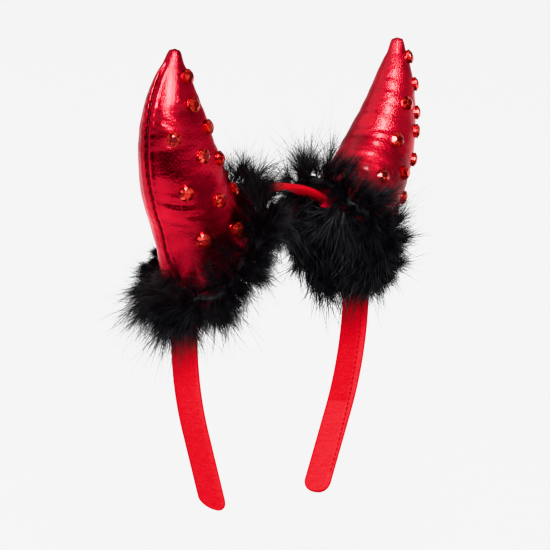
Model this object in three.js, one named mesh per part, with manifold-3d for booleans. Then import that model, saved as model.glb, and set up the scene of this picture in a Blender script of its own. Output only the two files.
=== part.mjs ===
// Devil-horn headband: a fabric-wrapped band, two stuffed horns with a sewn seam, round cut stones on the
// front of each horn, and a feather trim round the foot of each horn.
// Millimetres and degrees. X is the wearer's left, the front faces -Y and Z is up.
// The origin is on the inner face of the band, at the middle of its top.
import * as THREE from 'three';
import { mergeVertices } from 'three/addons/utils/BufferGeometryUtils.js';
import Module from 'manifold-3d';

const wasm = await Module();
wasm.setup();

// Driving sizes
const GAP = 0.3; // air between neighbouring pieces
const SLIVER = 0.05; // detail that a cut may leave out
const BAND = {
  width: 12.6,
  thickness: 2.4,
  topRadius: 76.8, // centreline arcs, from the top down one side
  topTurn: 45,
  shoulderRadius: 39.5,
  armRadius: 114,
  armTurn: 25.4,
  straight: 37.3,
  tipRadius: 5, // rounded corners of the two ends
  edgeShare: 0.5, // thickness left at the long edges
  edgeBulge: 0.03, // how far the edges' middle stands out, as a share of the width
  steps: 56, // along the whole band, without the rounded ends
  tipSteps: 4,
};
const HORN = {
  baseX: 47.4, // start of the axis, inside the band
  baseZ: -20.0,
  baseTilt: 55.2, // lean away from the middle, at the foot and at the tip
  tipTilt: -5.2,
  length: 94.1,
  forward: 3.9, // how far the tip stands in front of the foot
  roll: -30.2, // turn of the sections, which points their long way at the seam
  skirt: 16, // length below the start that the band's curve cuts off
  rows: 17,
  crowding: 0.45, // how much closer together the rows are at the tip
  around: 36,
  tipRise: 0.8, // height of the rounded tip over the last row
  seamAngle: 12, // on the outer side, behind the middle
  seamRise: 1.1,
  seamWidth: 15,
  outerAngle: 30, // straight away from the middle
  toe: 9.5, // the foot's outer end, drawn out along the band
  toeShare: 0.3, // share of the length over which the toe fades
  heel: 2.5, // the foot's inner end, drawn out in the same way
  straddleFront: 5, // how far the foot hangs past the band's centreline in front of it
  straddleBack: 9, // and behind it
};
// Half sizes of the horn's sections from the foot to the tip
const SECTIONS = [
  { share: 0.0, across: 21.4, deep: 22.4 },
  { share: 0.15, across: 19.0, deep: 19.8 },
  { share: 0.3, across: 18.6, deep: 17.4 },
  { share: 0.5, across: 17.1, deep: 15.0 },
  { share: 0.7, across: 13.7, deep: 11.0 },
  { share: 0.88, across: 7.6, deep: 6.3 },
  { share: 0.97, across: 3.2, deep: 3.1 },
  { share: 0.995, across: 2.0, deep: 2.1 },
];
const STONE = {
  radius: 3.1, // widest part, at the girdle
  table: 1.75,
  girdle: 0.7, // height of the girdle over the seat
  height: 2.1,
  foot: 2.7, // radius at the seat
  sink: 1.3, // depth that the seat cuts away on the curved horn
  facets: 10,
};
// Place of each stone: share of the horn's length, and angle round it from the seam side to the front
const STONES_RIGHT = [
  { share: 0.885, angle: 126 },
  { share: 0.763, angle: 116 },
  { share: 0.644, angle: 144 },
  { share: 0.644, angle: 68 },
  { share: 0.542, angle: 109 },
  { share: 0.475, angle: 146 },
  { share: 0.424, angle: 71 },
  { share: 0.322, angle: 112 },
  { share: 0.255, angle: 158 },
  { share: 0.215, angle: 70 },
  { share: 0.148, angle: 116 },
];
const STONES_LEFT = [
  { share: 0.915, angle: 86 },
  { share: 0.797, angle: 84 },
  { share: 0.695, angle: 139 },
  { share: 0.678, angle: 84 },
  { share: 0.593, angle: 96 },
  { share: 0.492, angle: 150 },
  { share: 0.475, angle: 88 },
  { share: 0.373, angle: 116 },
  { share: 0.305, angle: 84 },
  { share: 0.271, angle: 154 },
];
const TRIM = {
  rise: 3, // height of the trim's core over the band, where it crosses the band
  drop: 6, // how much lower it hangs in front and behind
  core: 6, // radius of the core between the locks
  inset: 2.5, // how far the core presses past the horn's side
  around: 56, // net of the core; locks stand on every fourth corner, in staggered rows
  sides: 12,
  lean: -8, // way the longest locks point, from level with the foot
  reach: 15, // length of the longest locks from the core's centre
  innerReach: 4, // added at the inner end
  uneven: 0.3, // share by which a lock can be shorter
  sag: 2.5, // drop of the longest locks' ends
  sway: 2, // sideways scatter of the ends
  headRoom: 4, // kept free under the band, past its two edges
};

const rad = THREE.MathUtils.degToRad;
const ease = THREE.MathUtils.smoothstep;
const UP = new THREE.Vector3(0, 0, 1);
const FRONT = new THREE.Vector3(0, -1, 0);

const redCloth = new THREE.MeshStandardMaterial({ color: 0xe3101d, roughness: 0.85, metalness: 0 });
const redLame = new THREE.MeshStandardMaterial({ color: 0xb01524, roughness: 0.35, metalness: 0.6 });
const redStone = new THREE.MeshStandardMaterial({ color: 0xc81a1e, roughness: 0.08, metalness: 0 });
const blackFeather = new THREE.MeshStandardMaterial({ color: 0x0c0a0c, roughness: 0.95, metalness: 0 });

// Closed mesh helpers

/** Moves every vertex of a closed geometry and joins the vertices that meet. */
function reshape(geometry, move) {
  const bare = new THREE.BufferGeometry();
  const place = geometry.getAttribute('position').clone();
  const point = new THREE.Vector3();
  for (let i = 0; i < place.count; i += 1) {
    point.copy(move(point.fromBufferAttribute(place, i).clone()));
    place.setXYZ(i, point.x, point.y, point.z);
  }
  bare.setAttribute('position', place);
  bare.setIndex(geometry.getIndex());
  return mergeVertices(bare, 1e-4);
}

function toSolid(geometry) {
  const triangles = [];
  const index = geometry.getIndex();
  for (let i = 0; i < index.count; i += 3) {
    const [a, b, c] = [index.getX(i), index.getX(i + 1), index.getX(i + 2)];
    if (a !== b && b !== c && c !== a) {
      triangles.push(a, b, c);
    }
  }
  const mesh = new wasm.Mesh({
    numProp: 3,
    vertProperties: new Float32Array(geometry.getAttribute('position').array),
    triVerts: new Uint32Array(triangles),
  });
  return new wasm.Manifold(mesh);
}

/** Keeps the largest body of a solid, without the slivers and crumbs that a cut left. */
function largest(solid) {
  const bodies = solid.simplify(SLIVER).decompose();
  return bodies.reduce((best, body) => (body.volume() > best.volume() ? body : best));
}

function toGeometry(solid) {
  const mesh = solid.getMesh();
  const geometry = new THREE.BufferGeometry();
  geometry.setAttribute('position', new THREE.BufferAttribute(new Float32Array(mesh.vertProperties), 3));
  geometry.setIndex(new THREE.BufferAttribute(new Uint32Array(mesh.triVerts), 1));
  geometry.computeVertexNormals();
  return geometry;
}

function addMesh(group, name, geometry, material) {
  const mesh = new THREE.Mesh(geometry, material);
  mesh.name = name;
  group.add(mesh);
}

/** Repeatable number from 0 to 1 for a whole number. */
function scatter(seed) {
  const wave = Math.sin(seed * 12.9898 + 4.137) * 43758.5453;
  return wave - Math.floor(wave);
}

// Band

/** Centreline of one side of the band in the XZ plane, from the top to the end. */
function bandPath() {
  const { topRadius, shoulderRadius, armRadius, straight, thickness } = BAND;
  const turn = rad(BAND.topTurn);
  const end = rad(BAND.armTurn);
  const top = new THREE.Vector2(0, thickness / 2 - topRadius);
  const reach = topRadius - shoulderRadius;
  const shoulder = new THREE.Vector2(reach * Math.sin(turn), reach * Math.cos(turn)).add(top);
  const arm = new THREE.Vector2(shoulder.x + shoulderRadius - armRadius, shoulder.y);
  const path = new THREE.Path();
  path.absarc(top.x, top.y, topRadius, Math.PI / 2, Math.PI / 2 - turn, true);
  path.absarc(shoulder.x, shoulder.y, shoulderRadius, Math.PI / 2 - turn, 0, true);
  path.absarc(arm.x, arm.y, armRadius, 0, -end, true);
  const last = path.getPoint(1);
  path.lineTo(last.x - straight * Math.sin(end), last.y - straight * Math.cos(end));
  return path;
}

const HALF_BAND = bandPath();
const HALF_LENGTH = HALF_BAND.getLength();

/** Point and outward direction on the band's centreline, by distance from the top to the wearer's left. */
function bandFrame(distance) {
  const share = Math.min(Math.abs(distance) / HALF_LENGTH, 1);
  const side = Math.sign(distance) || 1;
  const point = HALF_BAND.getPoint(share);
  const along = HALF_BAND.getTangent(Math.min(share, 0.9999));
  return {
    point: new THREE.Vector3(side * point.x, 0, point.y),
    out: new THREE.Vector3(-side * along.y, 0, along.x),
  };
}

/** Stations along the band, close together at the rounded ends, each with the part of the width it has. */
function bandStations() {
  const { tipRadius, tipSteps, steps, width } = BAND;
  const straight = HALF_LENGTH - tipRadius;
  const tip = [];
  for (let i = 1; i <= tipSteps; i += 1) {
    const turn = (Math.PI / 2) * (i / tipSteps);
    const lost = tipRadius * (1 - Math.cos(turn));
    tip.push({ distance: straight + tipRadius * Math.sin(turn), share: 1 - (2 * lost) / width });
  }
  const middle = [];
  for (let i = 0; i <= steps; i += 1) {
    middle.push({ distance: straight * ((2 * i) / steps - 1), share: 1 });
  }
  const start = tip.map(({ distance, share }) => ({ distance: -distance, share })).reverse();
  return [...start, ...middle, ...tip];
}

/** The band as a box bent along its centreline, with thinned long edges. */
function bandGeometry(grow) {
  const stations = bandStations();
  const count = stations.length - 1;
  const box = new THREE.BoxGeometry(2, 2, count, 4, 2, count);
  return reshape(box, ({ x, y, z }) => {
    const { distance, share } = stations[Math.round(z + count / 2)];
    const { point, out } = bandFrame(distance);
    const round = Math.sqrt(1 - (1 - BAND.edgeShare ** 2) * x ** 6);
    const bulge = 1 - BAND.edgeBulge * y ** 2 * Math.abs(x);
    const height = (BAND.thickness / 2) * y * round + grow * y;
    const place = point.addScaledVector(out, height);
    return place.setY((BAND.width / 2) * x * share * bulge + grow * x);
  });
}

/** Everything inside a line at a height over the band's centreline, as a block from front to back. */
function insideBand(height, front, back) {
  const points = [];
  const steps = 48;
  for (let i = -steps; i <= steps; i += 1) {
    const { point, out } = bandFrame((HALF_LENGTH * i) / steps);
    points.push(new THREE.Vector2(point.x + height * out.x, point.z + height * out.z));
  }
  const block = new THREE.ExtrudeGeometry(new THREE.Shape(points), {
    depth: back - front,
    bevelEnabled: false,
    steps: 1,
  });
  return reshape(block, ({ x, y, z }) => new THREE.Vector3(x, back - z, y));
}

// Horns, modelled on the wearer's left

const SECTION_CURVE = new THREE.CatmullRomCurve3(
  SECTIONS.map(({ share, across, deep }) => new THREE.Vector3(share * HORN.length, across, deep)),
);

/** Centre, outer direction and axis of the horn at a share of its length; below 0 it runs straight on. */
function hornFrame(share) {
  const bend = (rad(HORN.tipTilt) - rad(HORN.baseTilt)) / HORN.length;
  const start = rad(HORN.baseTilt);
  const arcLength = Math.max(share, 0) * HORN.length;
  const tilt = start + bend * arcLength;
  const centre = new THREE.Vector3(
    HORN.baseX + (Math.cos(start) - Math.cos(tilt)) / bend,
    -HORN.forward * Math.max(share, 0),
    HORN.baseZ + (Math.sin(tilt) - Math.sin(start)) / bend,
  );
  const axis = new THREE.Vector3(Math.sin(tilt), 0, Math.cos(tilt));
  centre.addScaledVector(axis, Math.min(share, 0) * HORN.length);
  return { centre, axis, outer: new THREE.Vector3(Math.cos(tilt), 0, -Math.sin(tilt)) };
}

/** Half sizes of the section at a share of the length. */
function sectionSize(share) {
  const target = THREE.MathUtils.clamp(share, 0, SECTIONS.at(-1).share) * HORN.length;
  let low = 0;
  let high = 1;
  for (let i = 0; i < 24; i += 1) {
    const middle = (low + high) / 2;
    if (SECTION_CURVE.getPoint(middle).x < target) {
      low = middle;
    } else {
      high = middle;
    }
  }
  const { y, z } = SECTION_CURVE.getPoint(low);
  return { across: y, deep: z };
}

/** How far the foot is drawn out along the band, at its outer and inner ends. */
function footStretch(share, angle) {
  const facing = Math.cos(rad(angle - HORN.outerAngle));
  const low = 1 - ease(share, 0, HORN.toeShare);
  return low * facing ** 4 * (facing > 0 ? HORN.toe : HORN.heel);
}

/** Point on the horn's side; angle 0 is next to the seam and 120 is the front. */
function hornPoint(share, angle, grow = 0) {
  const { centre, outer } = hornFrame(share);
  const { across, deep } = sectionSize(share);
  const fromSeam = (angle - HORN.seamAngle) / HORN.seamWidth;
  const fade = ease(1 - share, 0, 0.2);
  const ridge = HORN.seamRise * fade * Math.exp(-(fromSeam ** 2));
  const drawn = ridge + grow + footStretch(share, angle);
  const a = (across + drawn) * Math.cos(rad(angle));
  const b = (deep + drawn) * Math.sin(rad(angle));
  const roll = rad(HORN.roll);
  return centre
    .addScaledVector(outer, a * Math.cos(roll) - b * Math.sin(roll))
    .addScaledVector(FRONT, a * Math.sin(roll) + b * Math.cos(roll));
}

/** Outward direction of the horn's side. */
function hornNormal(share, angle) {
  const around = hornPoint(share, angle + 3).sub(hornPoint(share, angle - 3));
  const along = hornPoint(share + 0.01, angle).sub(hornPoint(share - 0.01, angle));
  return along.cross(around).normalize();
}

/** The whole horn as a lathe shape bent along the axis, before the band's curve cuts its foot. */
function hornGeometry(grow) {
  const { rows, around, skirt, length, crowding } = HORN;
  const first = -skirt / length;
  const last = SECTIONS.at(-1).share;
  const shares = [];
  for (let i = 0; i <= rows; i += 1) {
    const even = i / rows;
    const crowded = Math.sin((Math.PI / 2) * even);
    shares.push(first + (last - first) * THREE.MathUtils.lerp(even, crowded, crowding));
  }
  const profile = [new THREE.Vector2(0, 0)];
  shares.forEach((share, i) => profile.push(new THREE.Vector2(1, i)));
  profile.push(new THREE.Vector2(0, rows));
  const lathe = new THREE.LatheGeometry(profile, around);
  return reshape(lathe, ({ x, y, z }) => {
    const share = shares[Math.round(y)];
    if (Math.hypot(x, z) < 0.5) {
      const { centre, axis } = hornFrame(share);
      return centre.addScaledVector(axis, y > 0 ? HORN.tipRise + grow : -grow);
    }
    const angle = THREE.MathUtils.radToDeg(Math.atan2(z, x));
    return hornPoint(share, angle < 0 ? angle + 360 : angle, grow);
  });
}

// Stones

/** A cut stone standing on the horn, with a table, a crown and a girdle. */
function stoneGeometry({ share, angle }, grow) {
  const { radius, table, girdle, height, foot, sink, facets } = STONE;
  const profile = [
    new THREE.Vector2(0, -sink),
    new THREE.Vector2(foot + grow, -sink),
    new THREE.Vector2(radius + grow, girdle),
    new THREE.Vector2(table + grow, height + grow),
    new THREE.Vector2(0, height + grow),
  ];
  const lathe = new THREE.LatheGeometry(profile, facets);
  const latheAxis = new THREE.Vector3(0, 1, 0);
  const turn = new THREE.Quaternion().setFromUnitVectors(latheAxis, hornNormal(share, angle));
  const seat = hornPoint(share, angle);
  return reshape(lathe, (point) => point.applyQuaternion(turn).add(seat));
}

/** The stone with a seat that follows the horn's side. */
function stoneSolid(place, hornGrown) {
  return largest(toSolid(stoneGeometry(place, 0)).subtract(hornGrown));
}

// Feather trim

/** Share of the horn's length, at an angle round it, where the trim's core lies on its side. */
function footShare(angle) {
  const step = 0.004;
  const highest = 0.6;
  let share = -HORN.skirt / HORN.length;
  let point = hornPoint(share, angle);
  while (share < highest && heightOverBand(point) < trimRise(point)) {
    share += step;
    point = hornPoint(share, angle);
  }
  return share;
}

/** Height of the trim's core over the band's outer face: lower in front of the band and behind it. */
function trimRise(point) {
  const half = BAND.width / 2;
  return TRIM.rise - TRIM.drop * ease(Math.abs(point.y), half, 2.5 * half);
}

/** Height of a point over the band's outer face, measured in the plane of the band's curve. */
function heightOverBand(point) {
  let best = Infinity;
  let height = 0;
  const steps = 120;
  for (let i = 0; i <= steps; i += 1) {
    const frame = bandFrame((HALF_LENGTH * i) / steps);
    const away = new THREE.Vector3(point.x - frame.point.x, 0, point.z - frame.point.z);
    if (away.length() < best) {
      best = away.length();
      height = away.dot(frame.out) - BAND.thickness / 2;
    }
  }
  return height;
}

/** Centre of the trim's core at each angle round the horn, with the directions away from the horn and up. */
function trimFrames({ outerDrop, backDrop }) {
  const frames = [];
  for (let i = 0; i < TRIM.around; i += 1) {
    const angle = 360 - (360 * i) / TRIM.around; // runs this way so that the tube's faces look out
    const share = footShare(angle);
    const normal = hornNormal(share, angle);
    const { axis } = hornFrame(share);
    const away = normal.clone().addScaledVector(axis, -normal.dot(axis)).normalize();
    const centre = hornPoint(share, angle).addScaledVector(away, TRIM.core - TRIM.inset);
    const outer = Math.cos(rad(angle - HORN.outerAngle));
    const back = Math.cos(rad(angle - HORN.outerAngle + 90));
    const drop = outerDrop * ease(outer, -0.3, 0.8) + backDrop * ease(back, 0, 0.9);
    const reach = TRIM.reach + TRIM.innerReach * ease(-outer, 0, 0.8);
    frames.push({ centre: centre.addScaledVector(UP, -drop), away, axis, reach });
  }
  return frames;
}

/** The trim as a ring tube through the centres, with some corners of its net drawn out to locks. */
function trimGeometry(frames, firstSeed) {
  const { around, sides, core, uneven, sag, sway } = TRIM;
  const torus = new THREE.TorusGeometry(2, 1, sides, around);
  return reshape(torus, ({ x, y, z }) => {
    const i = (Math.round((Math.atan2(y, x) / (2 * Math.PI)) * around) + around) % around;
    const tubeAngle = Math.atan2(z, Math.hypot(x, y) - 2);
    const j = (Math.round((tubeAngle / (2 * Math.PI)) * sides) + sides) % sides;
    const { centre, away, axis, reach } = frames[i];
    const seed = firstSeed + i * sides + j;
    const facing = Math.max(Math.cos(tubeAngle - rad(TRIM.lean)), 0);
    const isLock = i % 2 === 0 && (j + i / 2) % 2 === 0;
    const full = core + (reach - core) * facing * (1 - uneven * scatter(seed));
    const radius = isLock ? full : core;
    const drawn = (radius - core) / (reach - core);
    const side = new THREE.Vector3().crossVectors(axis, away);
    return centre
      .clone()
      .addScaledVector(away, radius * Math.cos(tubeAngle))
      .addScaledVector(axis, radius * Math.sin(tubeAngle))
      .addScaledVector(side, sway * drawn * (2 * scatter(seed + 0.37) - 1))
      .addScaledVector(UP, -sag * drawn * drawn);
  });
}

/** The trim in one body, cut clear of the pieces beside it. */
function trimSolid(neighbours, drops, firstSeed) {
  let solid = toSolid(trimGeometry(trimFrames(drops), firstSeed));
  neighbours.forEach((neighbour) => {
    solid = solid.subtract(neighbour);
  });
  return largest(solid);
}

// Assembly

const headband = new THREE.Group();
addMesh(headband, 'band', bandGeometry(0), redCloth);

const halfWidth = BAND.width / 2;
const headWidth = halfWidth + TRIM.headRoom;
const past = 60; // clear of everything in front and behind
const bandSlot = toSolid(insideBand(BAND.thickness / 2 + GAP, -halfWidth - GAP, halfWidth + GAP));
const frontCut = toSolid(insideBand(-HORN.straddleFront, -past, 0));
const backCut = toSolid(insideBand(-HORN.straddleBack, 0, past));
const headBlock = toSolid(insideBand(-BAND.thickness / 2, -headWidth, headWidth));
const bandGrown = toSolid(bandGeometry(GAP));
const footCut = bandSlot.add(frontCut).add(backCut);
const hornSolid = largest(toSolid(hornGeometry(0)).subtract(footCut));
const hornGrown = toSolid(hornGeometry(GAP));
const hornShape = toGeometry(hornSolid);

// The trim hangs lower on the wearer's right
const SIDES = [
  { name: 'right', mirror: -1, stones: STONES_RIGHT, drops: { outerDrop: 5, backDrop: 9 }, seed: 7 },
  { name: 'left', mirror: 1, stones: STONES_LEFT, drops: { outerDrop: -1, backDrop: 0 }, seed: 411 },
];
for (const { name, mirror, stones, drops, seed } of SIDES) {
  const side = new THREE.Group();
  side.scale.x = mirror;
  addMesh(side, `horn_${name}`, hornShape, redLame);
  const stoneSolids = stones.map((place) => stoneSolid(place, hornGrown));
  stoneSolids.forEach((solid, i) => {
    addMesh(side, `stone_${name}_${String(i + 1).padStart(2, '0')}`, toGeometry(solid), redStone);
  });
  const stonesGrown = stones.map((place) => toSolid(stoneGeometry(place, GAP)));
  const trim = trimSolid([hornGrown, bandGrown, headBlock, ...stonesGrown], drops, seed);
  addMesh(side, `marabou_${name}`, toGeometry(trim), blackFeather);
  headband.add(side);
}

export default headband;
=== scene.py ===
"""Devil-horn headband: a cloth-wrapped band, two stuffed horns, cut stones and a down-feather trim.

Forms are worked out in millimetres and made in metres. X is the wearer's left, the front faces -Y and
Z is up. The origin is on the inner face of the band, at the middle of its top.
"""

from __future__ import annotations

import logging
import math
from collections.abc import Sequence
from dataclasses import dataclass
from enum import Enum

import bpy
import numpy as np
from mathutils import Matrix, Vector, noise

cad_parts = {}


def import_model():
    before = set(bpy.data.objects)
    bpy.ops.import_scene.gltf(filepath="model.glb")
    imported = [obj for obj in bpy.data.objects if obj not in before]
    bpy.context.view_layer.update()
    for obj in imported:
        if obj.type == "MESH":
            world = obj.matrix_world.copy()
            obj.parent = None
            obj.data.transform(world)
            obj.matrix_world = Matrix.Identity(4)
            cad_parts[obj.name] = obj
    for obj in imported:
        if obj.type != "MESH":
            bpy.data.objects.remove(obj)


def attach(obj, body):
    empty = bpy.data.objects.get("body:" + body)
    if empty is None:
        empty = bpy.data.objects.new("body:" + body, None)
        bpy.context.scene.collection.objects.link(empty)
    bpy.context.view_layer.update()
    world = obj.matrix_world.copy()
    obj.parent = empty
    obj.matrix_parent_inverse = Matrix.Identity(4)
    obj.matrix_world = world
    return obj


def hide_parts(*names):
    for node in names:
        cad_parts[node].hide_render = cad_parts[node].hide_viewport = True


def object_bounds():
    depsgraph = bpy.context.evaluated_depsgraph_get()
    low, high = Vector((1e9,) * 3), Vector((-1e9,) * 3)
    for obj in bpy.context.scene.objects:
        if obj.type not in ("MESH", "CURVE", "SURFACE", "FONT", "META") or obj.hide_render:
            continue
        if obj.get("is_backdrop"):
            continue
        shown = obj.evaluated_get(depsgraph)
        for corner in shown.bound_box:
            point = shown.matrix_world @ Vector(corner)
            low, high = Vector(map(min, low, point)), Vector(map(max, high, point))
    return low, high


Array = np.ndarray
MM = 0.001
UP = np.array([0.0, 0.0, 1.0])
FRONT = np.array([0.0, -1.0, 0.0])
FULL_TURN = 360.0
BODY = "root"

log = logging.getLogger("headband")


class Slot(Enum):
    """The record's material slots."""

    CLOTH = "red_cloth"
    LAME = "red_lame"
    STONE = "red_stone"
    FEATHER = "black_feather"


class Side(Enum):
    """The wearer's side that a horn stands on."""

    RIGHT = "right"
    LEFT = "left"

    @property
    def mirror(self) -> float:
        """Sign of X for a form that is worked out on the wearer's left."""
        return -1.0 if self is Side.RIGHT else 1.0


# Small helpers


def ease(value: Array | float, low: float, high: float) -> Array:
    """Smooth step from 0 at low to 1 at high."""
    share = np.clip((np.asarray(value, float) - low) / (high - low), 0.0, 1.0)
    return share * share * (3.0 - 2.0 * share)


def bell(value: Array, centre: float, width: float) -> Array:
    """Smooth hump of height 1 round a centre."""
    return np.exp(-(((value - centre) / width) ** 2))


def unit(vectors: Array) -> Array:
    """Vectors of length 1 in the same directions."""
    return vectors / np.maximum(np.linalg.norm(vectors, axis=-1, keepdims=True), 1e-9)


def blend(start: Array | float, end: Array | float, share: Array | float) -> Array:
    """Straight mix of two values."""
    return start + (end - start) * share


def wrap(angle: Array) -> Array:
    """The same angles in degrees, between minus half a turn and half a turn."""
    half = FULL_TURN / 2
    return (angle + half) % FULL_TURN - half


@dataclass(frozen=True)
class Waver:
    """A pattern of smooth noise: features in a millimetre, across and along Z, and a seed."""

    across: float
    along: float
    seed: float

    def at(self, points: Array) -> Array:
        """Values at points, from about -1 to 1.

        Args:
            points: Places, with the last axis of length 3.

        Returns:
            Values in the shape of the places.
        """
        scale = np.array([self.across, self.across, self.along])
        places = points.reshape(-1, 3) * scale + self.seed
        values = np.array([noise.noise(Vector(place)) for place in places])
        return values.reshape(points.shape[:-1])


def ring_faces(rows: int, columns: int) -> list[tuple[int, ...]]:
    """Quads of a tube net, closed round its columns and open at its two ends.

    Args:
        rows: How many rings of points there are.
        columns: How many points a ring has.

    Returns:
        Point numbers of each face.
    """
    faces = []
    for row in range(rows - 1):
        for column in range(columns):
            after = (column + 1) % columns
            low, high = row * columns, (row + 1) * columns
            faces.append((low + column, low + after, high + after, high + column))
    return faces


def make_object(name: str, points: Array, faces: Sequence, smooth: bool = True) -> bpy.types.Object:
    """Makes a mesh object.

    Args:
        name: The piece's name.
        points: Its points in millimetres.
        faces: Point numbers of each face, counterclockwise from outside.
        smooth: Whether its faces are shaded as one smooth skin.

    Returns:
        The object, linked to the scene.
    """
    mesh = bpy.data.meshes.new(name)
    mesh.from_pydata(points.reshape(-1, 3) * MM, [], faces)
    if smooth:
        mesh.shade_smooth()
    obj = bpy.data.objects.new(name, mesh)
    bpy.context.scene.collection.objects.link(obj)
    return obj


def rods(
    lines: Array, outs: Array, radius: float, sides: int = 6, blunt: float = 0.02
) -> tuple[Array, list]:
    """Short rods with rounded ends.

    Args:
        lines: Points along each rod.
        outs: A direction square to the rod at each of those points.
        radius: Half of the rods' thickness.
        sides: How many sides a rod has.
        blunt: Share of the section that is left at the ends.

    Returns:
        Points and faces of all the rods.
    """
    count, rows = lines.shape[:2]
    taper = np.sqrt(np.clip(1.0 - np.linspace(-1.0, 1.0, rows) ** 4, blunt, 1.0))
    turn = np.linspace(0.0, 2 * math.pi, sides, endpoint=False)[:, None]
    across = unit(np.cross(unit(np.gradient(lines, axis=1)), outs))
    ring = np.cos(turn) * across[..., None, :] + np.sin(turn) * outs[..., None, :]
    points = lines[..., None, :] + radius * taper[:, None, None] * ring
    net = ring_faces(rows, sides)
    net += [tuple(reversed(range(sides))), tuple(range((rows - 1) * sides, rows * sides))]
    size = rows * sides
    faces = [tuple(size * number + index for index in face) for number in range(count) for face in net]
    return points, faces


def settle(obj: bpy.types.Object) -> None:
    """Applies all of an object's modifiers to its mesh.

    Args:
        obj: The object.
    """
    view = bpy.context.evaluated_depsgraph_get()
    mesh = bpy.data.meshes.new_from_object(obj.evaluated_get(view))
    obj.modifiers.clear()
    obj.data = mesh


def enlist(
    obj: bpy.types.Object, material: bpy.types.Material, nodes: Sequence[str] = ()
) -> None:
    """Dresses a piece and ties it to the CAD body.

    Args:
        obj: The piece.
        material: Its finish.
        nodes: CAD nodes that the piece stands for.
    """
    obj.data.materials.clear()
    obj.data.materials.append(material)
    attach(obj, BODY)
    if nodes:
        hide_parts(*nodes)
    triangles = sum(len(face.vertices) - 2 for face in obj.data.polygons)
    log.info("%s: %d triangles", obj.name, triangles)


# Finishes


class NodeSheet:
    """The shader nodes of one material."""

    def __init__(self, name: str) -> None:
        """Starts a material with one principled shader.

        Args:
            name: The material's name.
        """
        self.material = bpy.data.materials.new(name)
        self.material.use_nodes = True
        self.tree = self.material.node_tree
        self.shader = self.tree.nodes["Principled BSDF"]

    def add(self, kind: str, inputs: dict | None = None, **settings: object) -> bpy.types.Node:
        """Adds a node.

        Args:
            kind: Blender's name for the node, without its common first part.
            inputs: Sockets by name or number, each with a socket to link or a fixed value.
            settings: The node's own settings.

        Returns:
            The node.
        """
        node = self.tree.nodes.new(f"ShaderNode{kind}")
        for key, value in settings.items():
            setattr(node, key, value)
        self.feed(node, inputs or {})
        return node

    def feed(self, node: bpy.types.Node, inputs: dict) -> None:
        """Links or sets some of a node's inputs.

        Args:
            node: The node.
            inputs: Sockets by name or number, each with a socket to link or a fixed value.
        """
        for key, value in inputs.items():
            if isinstance(value, bpy.types.NodeSocket):
                self.tree.links.new(value, node.inputs[key])
            else:
                node.inputs[key].default_value = value

    def shade(self, inputs: dict) -> None:
        """Links or sets inputs of the principled shader."""
        self.feed(self.shader, inputs)

    def ramp(self, factor: bpy.types.NodeSocket, stops: Sequence[tuple]) -> bpy.types.NodeSocket:
        """Colour ramp.

        Args:
            factor: What runs along the ramp.
            stops: Place and colour of each stop.

        Returns:
            The ramp's colour socket.
        """
        node = self.add("ValToRGB", {"Fac": factor})
        elements = node.color_ramp.elements
        while len(elements) < len(stops):
            elements.new(1.0)
        for element, (place, colour) in zip(elements, stops):
            element.position = place
            element.color = (*colour, 1.0)
        return node.outputs["Color"]

    def mix(self, factor: bpy.types.NodeSocket, first: object, second: object) -> bpy.types.NodeSocket:
        """Colour between two colours.

        Args:
            factor: Share of the second colour.
            first: Colour at 0.
            second: Colour at 1.

        Returns:
            A colour socket.
        """
        node = self.add("Mix", {0: factor}, data_type="RGBA")
        self.feed(node, {6: first, 7: second})
        return node.outputs[2]

    def math(self, operation: str, first: object, second: object) -> bpy.types.NodeSocket:
        """Sum, product or the like of two values."""
        return self.add("Math", {0: first, 1: second}, operation=operation).outputs[0]

    def places(
        self, attribute: str = "", scale: Sequence[float] = (1.0, 1.0, 1.0)
    ) -> bpy.types.NodeSocket:
        """Coordinates for textures.

        Args:
            attribute: Name of the mesh's own coordinates, or nothing for the object's.
            scale: Stretch along each axis.

        Returns:
            A vector socket.
        """
        if attribute:
            source = self.add("Attribute", attribute_name=attribute).outputs["Vector"]
        else:
            source = self.add("TexCoord").outputs["Object"]
        return self.add("Mapping", {"Vector": source, "Scale": tuple(scale)}).outputs["Vector"]

    def noise(self, places: bpy.types.NodeSocket, scale: float, detail: float) -> bpy.types.NodeSocket:
        """Noise from 0 to 1."""
        return self.add("TexNoise", {"Vector": places, "Scale": scale, "Detail": detail}).outputs["Fac"]

    def bump(self, height: bpy.types.NodeSocket, distance: float, strength: float) -> bpy.types.NodeSocket:
        """Normal of a surface with small heights, in metres at full height."""
        inputs = {"Height": height, "Distance": distance, "Strength": strength}
        return self.add("Bump", inputs).outputs["Normal"]


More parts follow.
